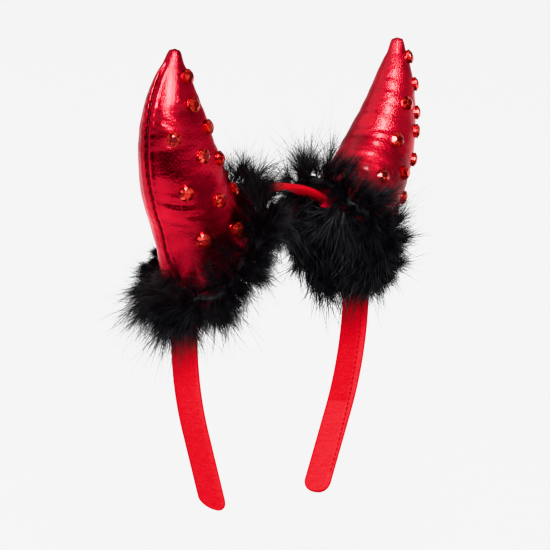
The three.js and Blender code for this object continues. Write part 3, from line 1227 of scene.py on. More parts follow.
class StuffedHorn:
    """One stuffed horn with its sewn seam and stitches."""

    def __init__(self, form: HornForm, detail: HornDetail, path: BandPath, side: Side) -> None:
        """Keeps the form, the relief, the band that the foot straddles and the side.

        Args:
            form: The smooth form.
            detail: The net and its relief.
            path: The band's centreline.
            side: The side that it stands on.
        """
        self.form = form
        self.sizes = form.sizes
        self.detail = detail
        self.path = path
        self.side = side

    def shares(self) -> Array:
        """Shares of the length of the net's rows, closer together at the tip.

        Returns:
            Shares from the foot to the tip.
        """
        even = np.linspace(0.0, 1.0, self.detail.rows)
        crowded = np.sin(math.pi / 2 * even)
        first = -self.sizes.skirt / self.sizes.length
        last = self.sizes.shares[-1]
        return first + (last - first) * blend(even, crowded, self.detail.crowding)

    def angles(self) -> Array:
        """Angles of the net's columns from the seam, closer together at the seam.

        Returns:
            Angles in degrees.
        """
        detail = self.detail
        near = np.linspace(-detail.seam_reach, detail.seam_reach, detail.seam_columns, endpoint=False)
        rest = FULL_TURN - detail.seam_reach
        far = np.linspace(detail.seam_reach, rest, detail.columns, endpoint=False)
        return np.concatenate([near, far])

    def relief(self, share: Array, angle: Array, lie: Array) -> Array:
        """Height of the seam, its puckers, dents and creases over the smooth form.

        Args:
            share: Share of the length of each point.
            angle: Angle of each point.
            lie: Each point's place on the straightened horn.

        Returns:
            Heights along the normal.
        """
        detail = self.detail
        across, deep = self.form.halves_at(share)
        off = np.radians(wrap(angle - self.form.seam(share))) * (across + deep) / 2
        along = share * self.sizes.length
        groove = -detail.groove * bell(off, 0.0, detail.groove_width)
        rim = detail.rim * bell(off, detail.rim_place, detail.rim_width)
        rim += detail.back_rim * bell(off, detail.back_rim_place, detail.back_rim_width)
        shift = detail.pucker_shift * detail.pucker_waver.at(lie)
        wave = np.sin(2 * math.pi * along / detail.pucker_pitch + shift)
        pucker = detail.pucker * wave * np.exp(-np.abs(off) / detail.pucker_reach)
        sewn = ease(1.0 - share, *detail.seam_fade) * (groove + rim + pucker)
        dent = detail.dent * detail.dent_waver.at(lie)
        dent += detail.ripple * detail.ripple_waver.at(lie)
        for fold in FOLDS[self.side]:
            dent += fold.height(along, angle, self.sizes.length)
        inside = bell(wrap(angle - detail.gather_angle), 0.0, detail.gather_spread)
        shift = detail.gather_shift * detail.gather_waver.at(lie)
        beat = 2 * math.pi * along / detail.gather_pitch + shift
        dent += detail.gather * inside * ease(share, *detail.gather_run) * np.sin(beat)
        patch = ease(detail.patch_waver.at(lie), *detail.crease_patch)
        slack = 1.0 - detail.taut * ease(share, *detail.taut_run)
        crease = slack * detail.crease * patch * detail.crease_waver.at(lie)
        loose = ease(1.0 - share, *detail.tip_fade) * (dent + crease)
        knob = bell(share, detail.knob_place, detail.knob_width)
        knob -= bell(share, detail.neck_place, detail.knob_width)
        return sewn + loose + detail.knob * knob

    def lay(self, share: Array, angle: Array) -> Array:
        """Places on the straightened horn, in millimetres, with another start for each side.

        Args:
            share: Shares of the length.
            angle: Angles round the axis in degrees.

        Returns:
            Places that patterns are read at.
        """
        turn = np.radians(angle)
        radius = self.detail.lay_radius
        start = LEFT_START if self.side is Side.LEFT else 0.0
        along = share * self.sizes.length + start
        return np.stack([radius * np.cos(turn), radius * np.sin(turn), along], -1)

    def skin(self) -> Array:
        """The net's points, row by row from the foot to the tip.

        Returns:
            Points on the wearer's left.
        """
        share, turn = np.meshgrid(self.shares(), self.angles(), indexing="ij")
        angle = (turn + self.form.seam(share)) % FULL_TURN
        height = self.relief(share, angle, self.lay(share, angle))
        return self.form.point(share, angle) + height[..., None] * self.form.normal(share, angle)

    def mirrored(self, points: Array) -> Array:
        """Points on the horn's own side of the head."""
        return points * np.array([self.side.mirror, 1.0, 1.0])

    def turned(self, faces: list) -> list:
        """Faces that look out on the horn's own side of the head."""
        return [face[::-1] for face in faces] if self.side is Side.LEFT else faces

    def build(self, finish: bpy.types.Material) -> bpy.types.Object:
        """Builds the skin, with its foot cut to straddle the band.

        Args:
            finish: The metallic sheet.

        Returns:
            The skin.
        """
        points = self.skin()
        rows, columns = points.shape[:2]
        ends = np.array([0, rows - 1])
        shares = self.shares()[ends]
        centre, axis, _ = self.form.frame(shares)
        poles = centre + axis * np.array([[0.0], [self.sizes.tip_rise]])
        faces = ring_faces(rows, columns)
        foot, tip = rows * columns, rows * columns + 1
        last = (rows - 1) * columns
        for column in range(columns):
            after = (column + 1) % columns
            faces.append((foot, after, column))
            faces.append((tip, last + column, last + after))
        net = np.concatenate([points.reshape(-1, 3), poles])
        obj = make_object(f"horn_{self.side.value}_skin", self.mirrored(net), self.turned(faces))
        self.cut_foot(obj)
        self.mark(obj)
        enlist(obj, finish, [f"horn_{self.side.value}"])
        return obj

    def mark(self, obj: bpy.types.Object) -> None:
        """Stores each point's place on the straightened horn, for the finish.

        Args:
            obj: The skin.
        """
        places = np.empty(3 * len(obj.data.vertices))
        obj.data.vertices.foreach_get("co", places)
        share, angle, _ = self.form.locate(self.mirrored(places.reshape(-1, 3) / MM))
        layer = obj.data.attributes.new("lie", "FLOAT_VECTOR", "POINT")
        layer.data.foreach_set("vector", self.lay(share, angle).ravel())

    def cut_foot(self, obj: bpy.types.Object) -> None:
        """Cuts the band's slot and the head's curve out of the foot.

        Args:
            obj: The skin.
        """
        sizes, band = self.sizes, self.path.sizes
        half = band.width / 2 + sizes.gap
        past = self.detail.cut_reach
        blocks = [
            self.path.block("slot", band.thickness / 2 + sizes.gap, -half, half),
            self.path.block("front", -sizes.straddle_front, -past, 0.0),
            self.path.block("back", -sizes.straddle_back, 0.0, past),
        ]
        for block in blocks:
            cut = obj.modifiers.new(block.name, "BOOLEAN")
            cut.operation = "DIFFERENCE"
            cut.solver = "EXACT"
            cut.object = block
        settle(obj)
        obj.data.set_sharp_from_angle(angle=math.radians(self.detail.sharp_angle))
        for block in blocks:
            bpy.data.objects.remove(block)

    def seam_point(self, along: Array, depth: float) -> Array:
        """Points in the bottom of the seam's groove, by distance along the horn.

        Args:
            along: Distances along the horn.
            depth: Depth under the smooth form.

        Returns:
            Points on the wearer's left.
        """
        share = along / self.sizes.length
        angle = self.form.seam(share)
        return self.form.point(share, angle) - depth * self.form.normal(share, angle)

    def build_stitches(self, finish: bpy.types.Material) -> bpy.types.Object:
        """Builds the row of stitches in the seam's groove as one mesh of short rounded rods.

        Args:
            finish: The thread.

        Returns:
            The stitches.
        """
        detail = self.detail
        count = int(detail.stitched_share * self.sizes.length / detail.pitch)
        bow = np.linspace(0.0, 1.0, detail.stitch_points)
        starts = detail.stitch_start + detail.pitch * np.arange(count)
        along = starts[:, None] + detail.stitch * bow
        share = along / self.sizes.length
        out = self.form.normal(share, self.form.seam(share))
        lift = detail.stitch_bow * np.sin(math.pi * bow)
        line = self.seam_point(along, detail.thread_depth) + lift[:, None] * out
        points, faces = rods(line, out, detail.thread)
        name = f"seam_{self.side.value}_stitches"
        obj = make_object(name, self.mirrored(points), self.turned(faces))
        enlist(obj, finish)
        return obj


# Stones


@dataclass(frozen=True)
class StoneSizes:
    """Sizes of a cut stone, in millimetres."""

    radius: float = 3.1
    table: float = 1.45
    girdle: float = 1.05
    height: float = 2.1
    foot: float = 2.7
    sink: float = 0.7
    star_radius: float = 2.05
    star_height: float = 1.83
    belt: float = 0.25
    facets: int = 8


# Share of the horn's length and angle round it, of each stone from the tip down
STONE_PLACES = {
    Side.RIGHT: (
        (0.885, 126), (0.763, 116), (0.644, 144), (0.644, 68), (0.542, 109), (0.475, 146),
        (0.424, 71), (0.322, 112), (0.255, 158), (0.215, 70), (0.148, 116),
    ),
    Side.LEFT: (
        (0.915, 86), (0.797, 84), (0.695, 139), (0.678, 84), (0.593, 96), (0.492, 150),
        (0.475, 88), (0.373, 116), (0.305, 84), (0.271, 154),
    ),
}  # fmt: skip

# Turns in degrees of the stones that show one bright facet to the front, by side and number
STONE_TURNS = {(Side.LEFT, 6): -6.0, (Side.LEFT, 10): 2.0}

STONE_SEEDS = {Side.RIGHT: 17, Side.LEFT: 23}


class StoneSet:
    """The cut stones on one horn."""

    def __init__(self, horn: StuffedHorn, sizes: StoneSizes) -> None:
        """Keeps the horn that carries the stones and their sizes."""
        self.horn = horn
        self.sizes = sizes

    def cut(self) -> tuple[Array, list]:
        """Points and facets of one stone that stands on the XY plane.

        Returns:
            Points in millimetres, and the point numbers of each facet.
        """
        sizes = self.sizes
        count, double = sizes.facets, 2 * sizes.facets
        wide = sizes.radius / math.cos(math.pi / double)
        levels = [
            self.level(sizes.table, sizes.height, count),
            self.level(sizes.star_radius, sizes.star_height, count, shift=0.5),
            self.level(wide, sizes.girdle, double),
            self.level(wide, sizes.girdle - sizes.belt, double),
            self.level(sizes.foot, -sizes.sink, double),
        ]
        star, girdle, belt, foot = np.cumsum([len(level) for level in levels])[:-1].tolist()
        faces = [tuple(range(count)), tuple(reversed(range(foot, foot + double)))]
        for table in range(count):
            point, before = star + table, star + (table - 1) % count
            left, middle = girdle + 2 * table, girdle + 2 * table + 1
            right = girdle + (2 * table + 2) % double
            faces.append((table, point, (table + 1) % count))
            faces.append((table, before, left, point))
            faces.append((point, left, middle))
            faces.append((point, middle, right))
        for corner in range(double):
            after = (corner + 1) % double
            for high, low in ((girdle, belt), (belt, foot)):
                faces.append((high + corner, low + corner, low + after, high + after))
        return np.concatenate(levels), faces

    @staticmethod
    def level(radius: float, height: float, count: int, shift: float = 0.0) -> Array:
        """Corners of one level of the cut, turned by a share of a step.

        Args:
            radius: Distance of the corners from the axis.
            height: Height of the level.
            count: How many corners it has.
            shift: The share of a step.

        Returns:
            The corners.
        """
        angle = 2 * math.pi / count * (np.arange(count) + shift)
        flat = np.full(count, height)
        return np.stack([radius * np.cos(angle), radius * np.sin(angle), flat], -1)

    def build(self, finish: bpy.types.Material) -> list[bpy.types.Object]:
        """Builds each stone on its place, most turned by chance, with a painted reflection tone per facet.

        Args:
            finish: The stones' finish.

        Returns:
            The stones.
        """
        side = self.horn.side
        rng = np.random.default_rng(STONE_SEEDS[side])
        points, faces = self.cut()
        stones = []
        for number, (share, angle) in enumerate(STONE_PLACES[side], 1):
            place = np.array(share), np.array(float(angle))
            seat = self.horn.form.point(*place)
            out = self.horn.form.normal(*place)
            chance = rng.uniform(0.0, FULL_TURN)
            spin = math.radians(STONE_TURNS.get((side, number), chance))
            first = unit(np.cross(out, UP))
            second = np.cross(out, first)
            east = math.cos(spin) * first + math.sin(spin) * second
            north = np.cross(out, east)
            placed = seat + points @ np.stack([east, north, out])
            name = f"stone_{side.value}_{number:02d}"
            turned = faces if side is Side.LEFT else [face[::-1] for face in faces]
            obj = make_object(f"cut_{name}", self.horn.mirrored(placed), turned, smooth=False)
            # Painted reflection: a random tone for each facet, which the finish reads.
            layer = obj.data.attributes.new("facet", "FLOAT", "FACE")
            layer.data.foreach_set("value", rng.uniform(0.0, 1.0, len(faces)))
            enlist(obj, finish, [name])
            stones.append(obj)
        return stones


# Feather trim


@dataclass(frozen=True)
class TrimSizes:
    """Sizes of a feather trim, in millimetres and degrees."""

    rise: float = 3.0
    drop: float = 6.0
    core: float = 6.0
    inset: float = 2.5
    around: int = 180
    drop_reach: float = 2.5
    search_end: float = 0.6
    search_step: float = 0.004
    core_sides: int = 20
    core_share: float = 0.36
    lump: float = 0.14
    lump_reach: float = 6.0
    lump_waver: Waver = Waver(0.25, 0.25, 4.0)
    plumes: int = 420
    spread: float = 105.0
    least_out: float = 0.06
    root_share: float = 0.3
    sideways: float = 0.3
    shortest: float = 0.65
    longer: float = 0.75
    skin_share: float = 0.98
    head_margin: float = 2.0
    aside: float = 49.5
    beyond: float = 109.0
    parts: int = 2


@dataclass(frozen=True)
class BarbSizes:
    """How barbs leave a plume and bend: widths in millimetres, angles in degrees, the rest as shares."""

    count: int = 100
    width: float = 0.13
    taper: tuple = (0.8, 1.0, 0.75)
    sway: float = 0.28
    sag: float = 0.10
    stem: float = 0.5
    opening: float = 15.0
    opening_scatter: float = 12.0
    shortening: float = 0.6
    shortest: float = 0.4
    longer: float = 0.75
    longer_power: float = 1.4
    strays: float = 0.10
    stray_length: tuple = (1.4, 2.2)
    curl: float = 0.25
    droop: float = 0.22
    flutter: float = 0.22


@dataclass(frozen=True)
class BandDown:
    """Down along the band: its place, length and side, its barbs' breadth, and the way it points."""

    plumes: int
    start: float
    end: float
    half: float
    reach: float
    facing: float
    broad: float = 1.0
    narrowing: float = 0.0
    gap: float = 0.2
    along: float = 0.7
    away: float = 0.5
    scatter: float = 0.45
    inward: float = 0.7
    least_lift: float = 0.2
    lengths: tuple = (0.7, 1.2)


@dataclass(frozen=True)
class Round:
    """A value round the horn's foot: one for each eighth of a turn, outer end first, then the front."""

    values: tuple

    def at(self, angle: Array) -> Array:
        """Values at angles, where 0 is outer and 90 is the front.

        Args:
            angle: Angles in degrees.

        Returns:
            Values that run smoothly from each eighth to the next.
        """
        count = len(self.values)
        spot = np.asarray(angle, float) % FULL_TURN / FULL_TURN * count
        low = spot.astype(int) % count
        steps = np.array(self.values)
        return blend(steps[low], steps[(low + 1) % count], ease(spot - np.floor(spot), 0.0, 1.0))


@dataclass(frozen=True)
class TrimHang:
    """How one trim hangs on its horn and the band, how far it reaches three ways, and its seed."""

    drop: Round
    hug: Round
    out: Round
    rise: Round
    fall: Round
    lining: BandDown
    apron: BandDown
    seed: int


# The near trim is long and loose, the far one is rounder and closer
TRIM_HANGS = {
    Side.RIGHT: TrimHang(
        drop=Round((0.0, 0.0, 0.0, 0.0, 0.0, 6.0, 10.0, 6.0)),
        hug=Round((0.0, 0.0, 2.0, 1.0, 0.0, 2.0, 3.0, 1.0)),
        out=Round((17.0, 11.0, 8.0, 7.0, 15.0, 7.0, 6.0, 11.0)),
        rise=Round((13.0, 22.0, 18.0, 20.0, 18.0, 6.0, 4.0, 4.0)),
        fall=Round((15.0, 13.0, 9.0, 7.0, 9.0, 12.0, 14.0, 15.0)),
        lining=BandDown(
            plumes=280, start=22.0, end=92.0, half=20.0, reach=13.0, facing=-1.0, broad=2.4, narrowing=0.16
        ),
        apron=BandDown(plumes=56, start=72.0, end=90.0, half=9.0, reach=19.0, facing=1.0),
        seed=7,
    ),
    Side.LEFT: TrimHang(
        drop=Round((-2.0, -2.0, 1.0, 1.0, 0.0, 1.0, 1.0, -1.0)),
        hug=Round((1.0, 3.0, 2.0, 0.0, 0.0, 1.5, 1.0, 0.5)),
        out=Round((6.5, 5.5, 8.0, 11.0, 12.0, 5.0, 4.5, 5.0)),
        rise=Round((12.0, 11.0, 13.0, 16.0, 24.0, 11.0, 10.0, 13.0)),
        fall=Round((7.0, 3.0, 9.0, 13.0, 7.0, 9.0, 9.0, 8.0)),
        lining=BandDown(
            plumes=260, start=22.0, end=86.0, half=20.0, reach=13.0, facing=-1.0, broad=2.4, narrowing=0.16
        ),
        apron=BandDown(plumes=40, start=70.0, end=82.0, half=9.0, reach=13.0, facing=1.0),
        seed=411,
    ),
}


@dataclass
class Plumes:
    """A set of plumes: where each one starts, the way it points and how long it is."""

    root: Array
    heading: Array
    length: Array


def bent(run: Array, heading: Array, pull: Array) -> Array:
    """Steps along curves that leave in one direction and are pulled into another."""
    return run * heading + 0.5 * run**2 * pull


class FeatherTrim:
    """The down-feather trim round the foot of one horn."""

    def __init__(self, horn: StuffedHorn, sizes: TrimSizes, barb: BarbSizes, hang: TrimHang) -> None:
        """Keeps the horn, the sizes and the way this trim hangs, and works out its ring.

        Args:
            horn: The horn that carries the trim.
            sizes: The trim's sizes.
            barb: The barbs' sizes.
            hang: How this trim hangs.
        """
        self.horn = horn
        self.form = horn.form
        self.path = horn.path
        self.sizes = sizes
        self.barb = barb
        self.hang = hang
        self.angle = np.linspace(0.0, FULL_TURN, sizes.around, endpoint=False)
        self.centre, self.away, self.axis = self.ring()

    def ring(self) -> tuple[Array, Array, Array]:
        """Centre of the core and the directions away from the horn and along it, at each angle.

        Returns:
            Points, and two unit vectors at each of them.
        """
        sizes = self.sizes
        horn = self.form.sizes
        shares = np.arange(-horn.skirt / horn.length, sizes.search_end, sizes.search_step)
        grid_share, grid_angle = np.meshgrid(shares, self.angle, indexing="ij")
        places = self.form.point(grid_share, grid_angle)
        half = self.path.sizes.width / 2
        over = self.path.height(places) - self.path.sizes.thickness / 2
        off_band = ease(np.abs(places[..., 1]), half, sizes.drop_reach * half)
        wanted = sizes.rise - sizes.drop * off_band
        share = shares[np.argmax(over >= wanted, axis=0)]
        normal = self.form.normal(share, self.angle)
        _, axis, _ = self.form.frame(share)
        away = unit(normal - axis * (normal * axis).sum(-1, keepdims=True))
        turn = self.angle - horn.outer_angle
        off = sizes.core - sizes.inset - self.hang.hug.at(turn)
        centre = self.form.point(share, self.angle) + away * off[:, None]
        return centre - self.hang.drop.at(turn)[:, None] * UP, away, axis

    def build_core(self, finish: bpy.types.Material) -> bpy.types.Object:
        """Builds the dense middle of the trim as a lumpy ring.

        Args:
            finish: The down.

        Returns:
            The core.
        """
        sizes = self.sizes
        turn = np.linspace(0.0, 2 * math.pi, sizes.core_sides, endpoint=False)[:, None]
        ring = np.cos(turn) * self.away[:, None] + np.sin(turn) * self.axis[:, None]
        lump = sizes.lump * sizes.lump_waver.at(self.centre[:, None] + sizes.lump_reach * ring)
        radius = sizes.core * (sizes.core_share + lump)
        points = self.centre[:, None] + radius[..., None] * ring
        rows, columns = points.shape[:2]
        faces = ring_faces(rows, columns)
        for column in range(columns):
            after = (column + 1) % columns
            last = (rows - 1) * columns
            faces.append((last + column, last + after, after, column))
        node = f"marabou_{self.horn.side.value}"
        obj = self.place(f"{node}_core", points, faces)
        enlist(obj, finish, [node])
        return obj

    def place(self, name: str, points: Array, faces: list) -> bpy.types.Object:
        """Makes a mesh object on the horn's own side of the head."""
        return make_object(name, self.horn.mirrored(points), self.horn.turned(faces))

    def ring_plumes(self, rng: np.random.Generator) -> Plumes:
        """Plumes that stand all round the ring's core.

        Args:
            rng: Source of the scatter.

        Returns:
            The plumes.
        """
        sizes, hang = self.sizes, self.hang
        count = sizes.plumes
        spot = (np.arange(count) + rng.random(count)) / count * sizes.around
        low = spot.astype(int) % sizes.around
        high = (low + 1) % sizes.around
        part = (spot % 1.0)[:, None]
        centre = blend(self.centre[low], self.centre[high], part)
        away = unit(blend(self.away[low], self.away[high], part))
        axis = unit(blend(self.axis[low], self.axis[high], part))
        side = np.cross(axis, away)
        turn = self.angle[low] - self.form.sizes.outer_angle
        tube = np.radians(rng.uniform(-sizes.spread, sizes.spread, count))
        outward, upward = np.maximum(np.cos(tube), sizes.least_out), np.sin(tube)
        tall = np.where(upward > 0, hang.rise.at(turn), hang.fall.at(turn))
        length = np.hypot(outward * hang.out.at(turn), upward * tall)
        radial = outward[:, None] * away + upward[:, None] * axis
        root = centre + sizes.root_share * sizes.core * radial
        heading = unit(radial + side * rng.normal(0.0, sizes.sideways, (count, 1)))
        size = sizes.shortest + sizes.longer * rng.random(count) ** 2
        return Plumes(root, heading, length * size)

    def band_plumes(self, rng: np.random.Generator, lie: BandDown) -> Plumes:
        """Plumes that lie along the band, on the side of the head or on the outer side.

        Args:
            rng: Source of the scatter.
            lie: How the down lies.

        Returns:
            The plumes.
        """
        band, horn = self.path.sizes, self.form.sizes
        count = lie.plumes
        run = rng.uniform(lie.start, lie.end, count)
        aside = rng.uniform(-lie.half, lie.half, count)
        run = blend(run, lie.start, lie.narrowing * np.abs(aside) / lie.half)
        line, out = self.path.at(run)
        under = np.where(aside < 0, horn.straddle_front, horn.straddle_back)
        past_edge = np.abs(aside) > band.width / 2 + horn.gap
        height = np.where(past_edge & (lie.facing < 0), under, band.thickness / 2) + lie.gap
        root = line + lie.facing * height[:, None] * out
        root[:, 1] = aside
        down = np.stack([out[:, 2], np.zeros(count), -out[:, 0]], -1)
        heading = lie.along * down + lie.away * lie.facing * out
        heading += rng.normal(0.0, lie.scatter, (count, 3))
        heading[:, 1] -= lie.inward * aside / lie.half
        heading = unit(heading)
        lift = lie.facing * (heading * out).sum(-1, keepdims=True)
        heading = unit(heading + lie.facing * np.maximum(lie.least_lift - lift, 0.0) * out)
        return Plumes(root, heading, lie.reach * rng.uniform(*lie.lengths, count))

    def barbs(self, plumes: Plumes, rng: np.random.Generator) -> tuple[Array, Array]:
        """Curves of the barbs of some plumes.

        Args:
            plumes: The plumes.
            rng: Source of the scatter.

        Returns:
            Points along each barb, and a vector across each barb.
        """
        barb = self.barb
        count = len(plumes.root)
        each = (count, barb.count)
        size = plumes.length[:, None, None]
        heading = plumes.heading[:, None]
        sway = (rng.normal(0.0, barb.sway, (count, 3)) - barb.sag * UP)[:, None]
        start = barb.stem * rng.random(each)[..., None]
        stem = plumes.root[:, None] + size * bent(start, heading, sway)
        ahead = unit(heading + start * sway)
        splay = unit(np.cross(ahead, rng.normal(size=(*each, 3))))
        opening = np.radians(np.abs(rng.normal(barb.opening, barb.opening_scatter, each)))[..., None]
        leave = np.cos(opening) * ahead + np.sin(opening) * splay
        chance = barb.shortest + barb.longer * rng.random(each) ** barb.longer_power
        length = size * (1.0 - barb.shortening * start) * chance[..., None]
        stray = rng.random(each) < barb.strays
        length = np.where(stray, rng.uniform(*barb.stray_length, each), 1.0)[..., None] * length
        curl = barb.curl * splay - barb.droop * UP + rng.normal(0.0, barb.flutter, (*each, 3))
        rows = len(barb.taper) + 1
        run = np.linspace(0.0, 1.0, rows)[:, None]
        steps = bent(run, leave[..., None, :], curl[..., None, :])
        curve = stem[..., None, :] + length[..., None] * steps
        across = unit(np.cross(leave.reshape(-1, 3), rng.normal(size=(count * barb.count, 3))))
        return curve.reshape(-1, rows, 3), across

    def out_of_horn(self, curve: Array) -> Array:
        """Which barbs stay out of the horn."""
        _, _, distance = self.form.locate(curve[:, 2:])
        return (distance > self.sizes.skin_share).all(axis=1)

    def out_of_band(self, curve: Array) -> Array:
        """Which barbs stay out of the band.

        Args:
            curve: Points along each barb.

        Returns:
            Truth values, one for each barb.
        """
        band = self.path.sizes
        near = np.abs(self.path.height(curve[:, 1:])) < band.thickness / 2
        return ~(near & (np.abs(curve[:, 1:, 1]) < band.width / 2)).any(axis=1)

    def out_of_head(self, curve: Array) -> Array:
        """Which barbs stay out of the room for the head, between the two arms.

        Args:
            curve: Points along each barb.

        Returns:
            Truth values, one for each barb.
        """
        band = self.path.sizes
        half = band.width / 2 + self.sizes.head_margin
        low = self.path.height(curve[:, 2:]) < -band.thickness / 2
        return ~(low & (np.abs(curve[:, 2:, 1]) < half)).any(axis=1)

    def build_down(self, finish: bpy.types.Material) -> list[bpy.types.Object]:
        """Builds the barbs as thin tapered strips, in a few meshes.

        Args:
            finish: The down.

        Returns:
            The meshes.
        """
        rng = np.random.default_rng(self.hang.seed)
        ring, ring_across = self.barbs(self.ring_plumes(rng), rng)
        keep = self.out_of_horn(ring) & self.out_of_head(ring) & self.out_of_band(ring)
        curves, sides = [ring[keep]], [ring_across[keep]]
        for lie in (self.hang.lining, self.hang.apron):
            more, more_across = self.barbs(self.band_plumes(rng, lie), rng)
            keep = self.out_of_band(more)
            curves.append(more[keep])
            sides.append(lie.broad * more_across[keep])
        curve, across = np.concatenate(curves), np.concatenate(sides)
        near = (np.abs(curve[..., 1]) < self.sizes.aside).all(axis=1)
        near &= (curve[..., 0] < self.sizes.beyond).all(axis=1)
        curve, across = curve[near], across[near]
        taper = np.array(self.barb.taper)
        rows = len(taper)
        last = 2 * rows - 2
        half = 0.5 * self.barb.width * taper[:, None] * across[:, None]
        left, right = curve[:, :rows] - half, curve[:, :rows] + half
        pairs = np.stack([left, right], 2).reshape(len(curve), 2 * rows, 3)
        strips = np.concatenate([pairs, curve[:, rows:]], 1)
        net = [(low, low + 1, low + 3, low + 2) for low in range(0, last, 2)]
        net.append((last, last + 1, last + 2))
        node = f"marabou_{self.horn.side.value}"
        downs = []
        for number, part in enumerate(np.array_split(strips, self.sizes.parts), 1):
            bases = range(0, part.shape[0] * part.shape[1], part.shape[1])
            faces = [tuple(base + index for index in face) for base in bases for face in net]
            obj = self.place(f"{node}_down_{number}", part, faces)
            enlist(obj, finish, [node])
            downs.append(obj)
        return downs


# Studio


@dataclass(frozen=True)
class Lamp:
    """A soft light: its way as picture right, up and back, the angles that it fills, and its radiance."""

    name: str
    way: tuple
    size: tuple
    radiance: float


@dataclass(frozen=True)
class Card:
    """A matt card on the floor: its edges to the right and towards the camera, and its grey."""

    name: str
    across: tuple
    ahead: tuple
    tone: float


LAMPS = (
    Lamp("key", way=(0.05, 0.40, 0.92), size=(14.0, 45.0), radiance=34.0),
    Lamp("left", way=(-0.78, 0.60, 0.05), size=(60.0, 50.0), radiance=0.82),
)

CARDS = (
    Card("dark_card", across=(-0.48, 0.20), ahead=(0.30, 0.85), tone=0.01),
    Card("grey_card", across=(0.14, 3.0), ahead=(-0.5, 1.2), tone=0.18),
)


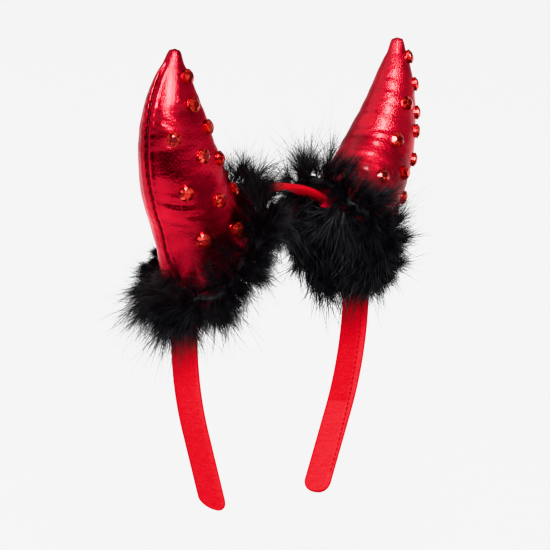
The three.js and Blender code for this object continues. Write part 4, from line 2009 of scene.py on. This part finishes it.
@dataclass(frozen=True)
class Studio:
    """Camera, floor and light, in metres and degrees."""

    turn: float = 57.0
    lift: float = 5.46
    roll: float = 2.06
    distance: float = 2.5
    lens: float = 389.45
    sensor: float = 36.0
    sight: float = 100.0
    aim: tuple = (0.00055, 0.03742)
    origin_z: float = 0.0012
    floor_gap: float = 0.06
    floor_half: float = 30.0
    floor_tone: float = 0.2
    floor_glow: float = 1.0
    card_lift: float = 0.002
    light_distance: float = 12.0
    sky: float = 0.42
    horizon: float = 1.22
    horizon_reach: tuple = (2.6, 4.2)

    def floor_directions(self) -> tuple[Array, Array]:
        """The level ways to the picture's right and towards the camera.

        Returns:
            Two unit vectors.
        """
        turn = math.radians(self.turn)
        right = np.array([math.cos(turn), -math.sin(turn), 0.0])
        toward = np.array([-math.sin(turn), -math.cos(turn), 0.0])
        return right, toward

    def directions(self) -> tuple[Array, Array, Array]:
        """The picture's right, its up, and the way back to the camera.

        Returns:
            Three unit vectors.
        """
        lift, roll = math.radians(self.lift), math.radians(self.roll)
        level, toward = self.floor_directions()
        back = math.cos(lift) * toward + math.sin(lift) * UP
        rise = np.cross(back, level)
        right = math.cos(roll) * level + math.sin(roll) * rise
        up = -math.sin(roll) * level + math.cos(roll) * rise
        return right, up, back

    def set_camera(self) -> None:
        """Puts the camera where the photograph was taken from."""
        right, up, back = self.directions()
        place = self.origin_z * UP - self.aim[0] * right - self.aim[1] * up + self.distance * back
        data = bpy.data.cameras.new("camera")
        data.lens = self.lens
        data.sensor_width = self.sensor
        data.clip_end = self.sight
        camera = bpy.data.objects.new("camera", data)
        turn = Matrix((right, up, back)).transposed().to_4x4()
        camera.matrix_world = Matrix.Translation(Vector(place)) @ turn
        bpy.context.scene.collection.objects.link(camera)
        bpy.context.scene.camera = camera

    def add_light(self, lamp: Lamp) -> None:
        """Adds a light, far enough off to fall evenly on everything.

        Args:
            lamp: The light.
        """
        right, up, back = self.directions()
        toward = unit(lamp.way[0] * right + lamp.way[1] * up + lamp.way[2] * back)
        halves = [math.radians(angle / 2) for angle in lamp.size]
        data = bpy.data.lights.new(lamp.name, "AREA")
        data.shape = "RECTANGLE"
        data.size, data.size_y = (2 * self.light_distance * math.tan(half) for half in halves)
        data.energy = lamp.radiance * math.pi * data.size * data.size_y
        light = bpy.data.objects.new(lamp.name, data)
        east = unit(np.cross(UP, toward))
        turn = Matrix((east, np.cross(toward, east), toward)).transposed().to_4x4()
        light.matrix_world = Matrix.Translation(Vector(self.light_distance * toward)) @ turn
        bpy.context.scene.collection.objects.link(light)

    def add_sheet(self, name: str, corners: Array, tone: float, glow: float) -> bpy.types.Object:
        """Adds a flat matt sheet to the stage.

        Args:
            name: The sheet's name.
            corners: Its four corners in millimetres.
            tone: Its grey, from 0 to 1.
            glow: Its own light.

        Returns:
            The sheet.
        """
        obj = make_object(name, corners, [(0, 1, 2, 3)], smooth=False)
        sheet = NodeSheet(name)
        sheet.shade(
            {
                "Base Color": (tone, tone, tone, 1.0),
                "Roughness": 1.0,
                "Specular IOR Level": 0.0,
                "Emission Color": (1.0, 1.0, 1.0, 1.0),
                "Emission Strength": glow,
            }
        )
        obj.data.materials.append(sheet.material)
        obj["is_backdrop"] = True
        return obj

    def add_floor(self, lowest: float) -> float:
        """Adds a plain pale floor under the object, and gives its height in millimetres.

        Args:
            lowest: The part's lowest Z in metres.

        Returns:
            The floor's height.
        """
        half = self.floor_half / MM
        low = (lowest - self.floor_gap) / MM
        ways = ((-1, -1), (1, -1), (1, 1), (-1, 1))
        corners = np.array([(half * east, half * north, low) for east, north in ways])
        self.add_sheet("floor", corners, self.floor_tone, self.floor_glow)
        return low

    def add_card(self, card: Card, floor: float) -> None:
        """Lays a card on the floor, that shows only where the shiny horns mirror it.

        Args:
            card: The card.
            floor: Height of the floor in millimetres.
        """
        right, toward = self.floor_directions()
        (west, east), (far, near) = card.across, card.ahead
        low = (floor + self.card_lift / MM) * UP
        places = ((west, far), (west, near), (east, near), (east, far))
        corners = np.array([low + (side * right + ahead * toward) / MM for side, ahead in places])
        obj = self.add_sheet(card.name, corners, card.tone, 0.0)
        obj.visible_camera = False
        obj.visible_diffuse = False
        obj.visible_shadow = False

    def set_sky(self) -> None:
        """Sets an even grey light all round, with a pale strip that takes the floor past its edge."""
        world = bpy.data.worlds.new("studio")
        world.use_nodes = True
        tree = world.node_tree
        way = tree.nodes.new("ShaderNodeTexCoord").outputs["Generated"]
        parts = tree.nodes.new("ShaderNodeSeparateXYZ")
        fade = tree.nodes.new("ShaderNodeMapRange")
        low, high = (math.sin(math.radians(angle)) for angle in self.horizon_reach)
        for socket, value in zip(list(fade.inputs)[1:5], (low, high, self.horizon, self.sky)):
            socket.default_value = value
        ground = tree.nodes["Background"].inputs
        ground["Color"].default_value = (1.0, 1.0, 1.0, 1.0)
        tree.links.new(way, parts.inputs[0])
        tree.links.new(parts.outputs["Z"], fade.inputs[0])
        tree.links.new(fade.outputs[0], ground["Strength"])
        bpy.context.scene.world = world
        bpy.context.scene.view_settings.view_transform = "Khronos PBR Neutral"
        bpy.context.scene.view_settings.look = "None"

    def build(self, lowest: float) -> None:
        """Sets up the whole studio.

        Args:
            lowest: The part's lowest Z in metres.
        """
        self.set_camera()
        self.set_sky()
        floor = self.add_floor(lowest)
        for card in CARDS:
            self.add_card(card, floor)
        for lamp in LAMPS:
            self.add_light(lamp)


def main() -> None:
    """Builds the headband round the CAD frame."""
    logging.basicConfig(level=logging.INFO, format="%(name)s: %(message)s")
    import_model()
    cad_box = [list(corner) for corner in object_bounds()]
    path = BandPath(BandSizes())
    cloth, stone = NapCloth().make(), CutStone().make()
    down, thread = Down().make(), Thread().make()
    band = WrappedBand(path, cloth)
    band.build()
    band.build_stitches(thread)
    for side in Side:
        horn = StuffedHorn(HornForm(HORN_SIZES[side]), HornDetail(), path, side)
        horn.build(HORN_FINISHES[side].make())
        horn.build_stitches(thread)
        StoneSet(horn, StoneSizes()).build(stone)
        trim = FeatherTrim(horn, TrimSizes(), BarbSizes(), TRIM_HANGS[side])
        trim.build_core(down)
        trim.build_down(down)
    Studio().build(cad_box[0][2])


if __name__ == "__main__":
    main()
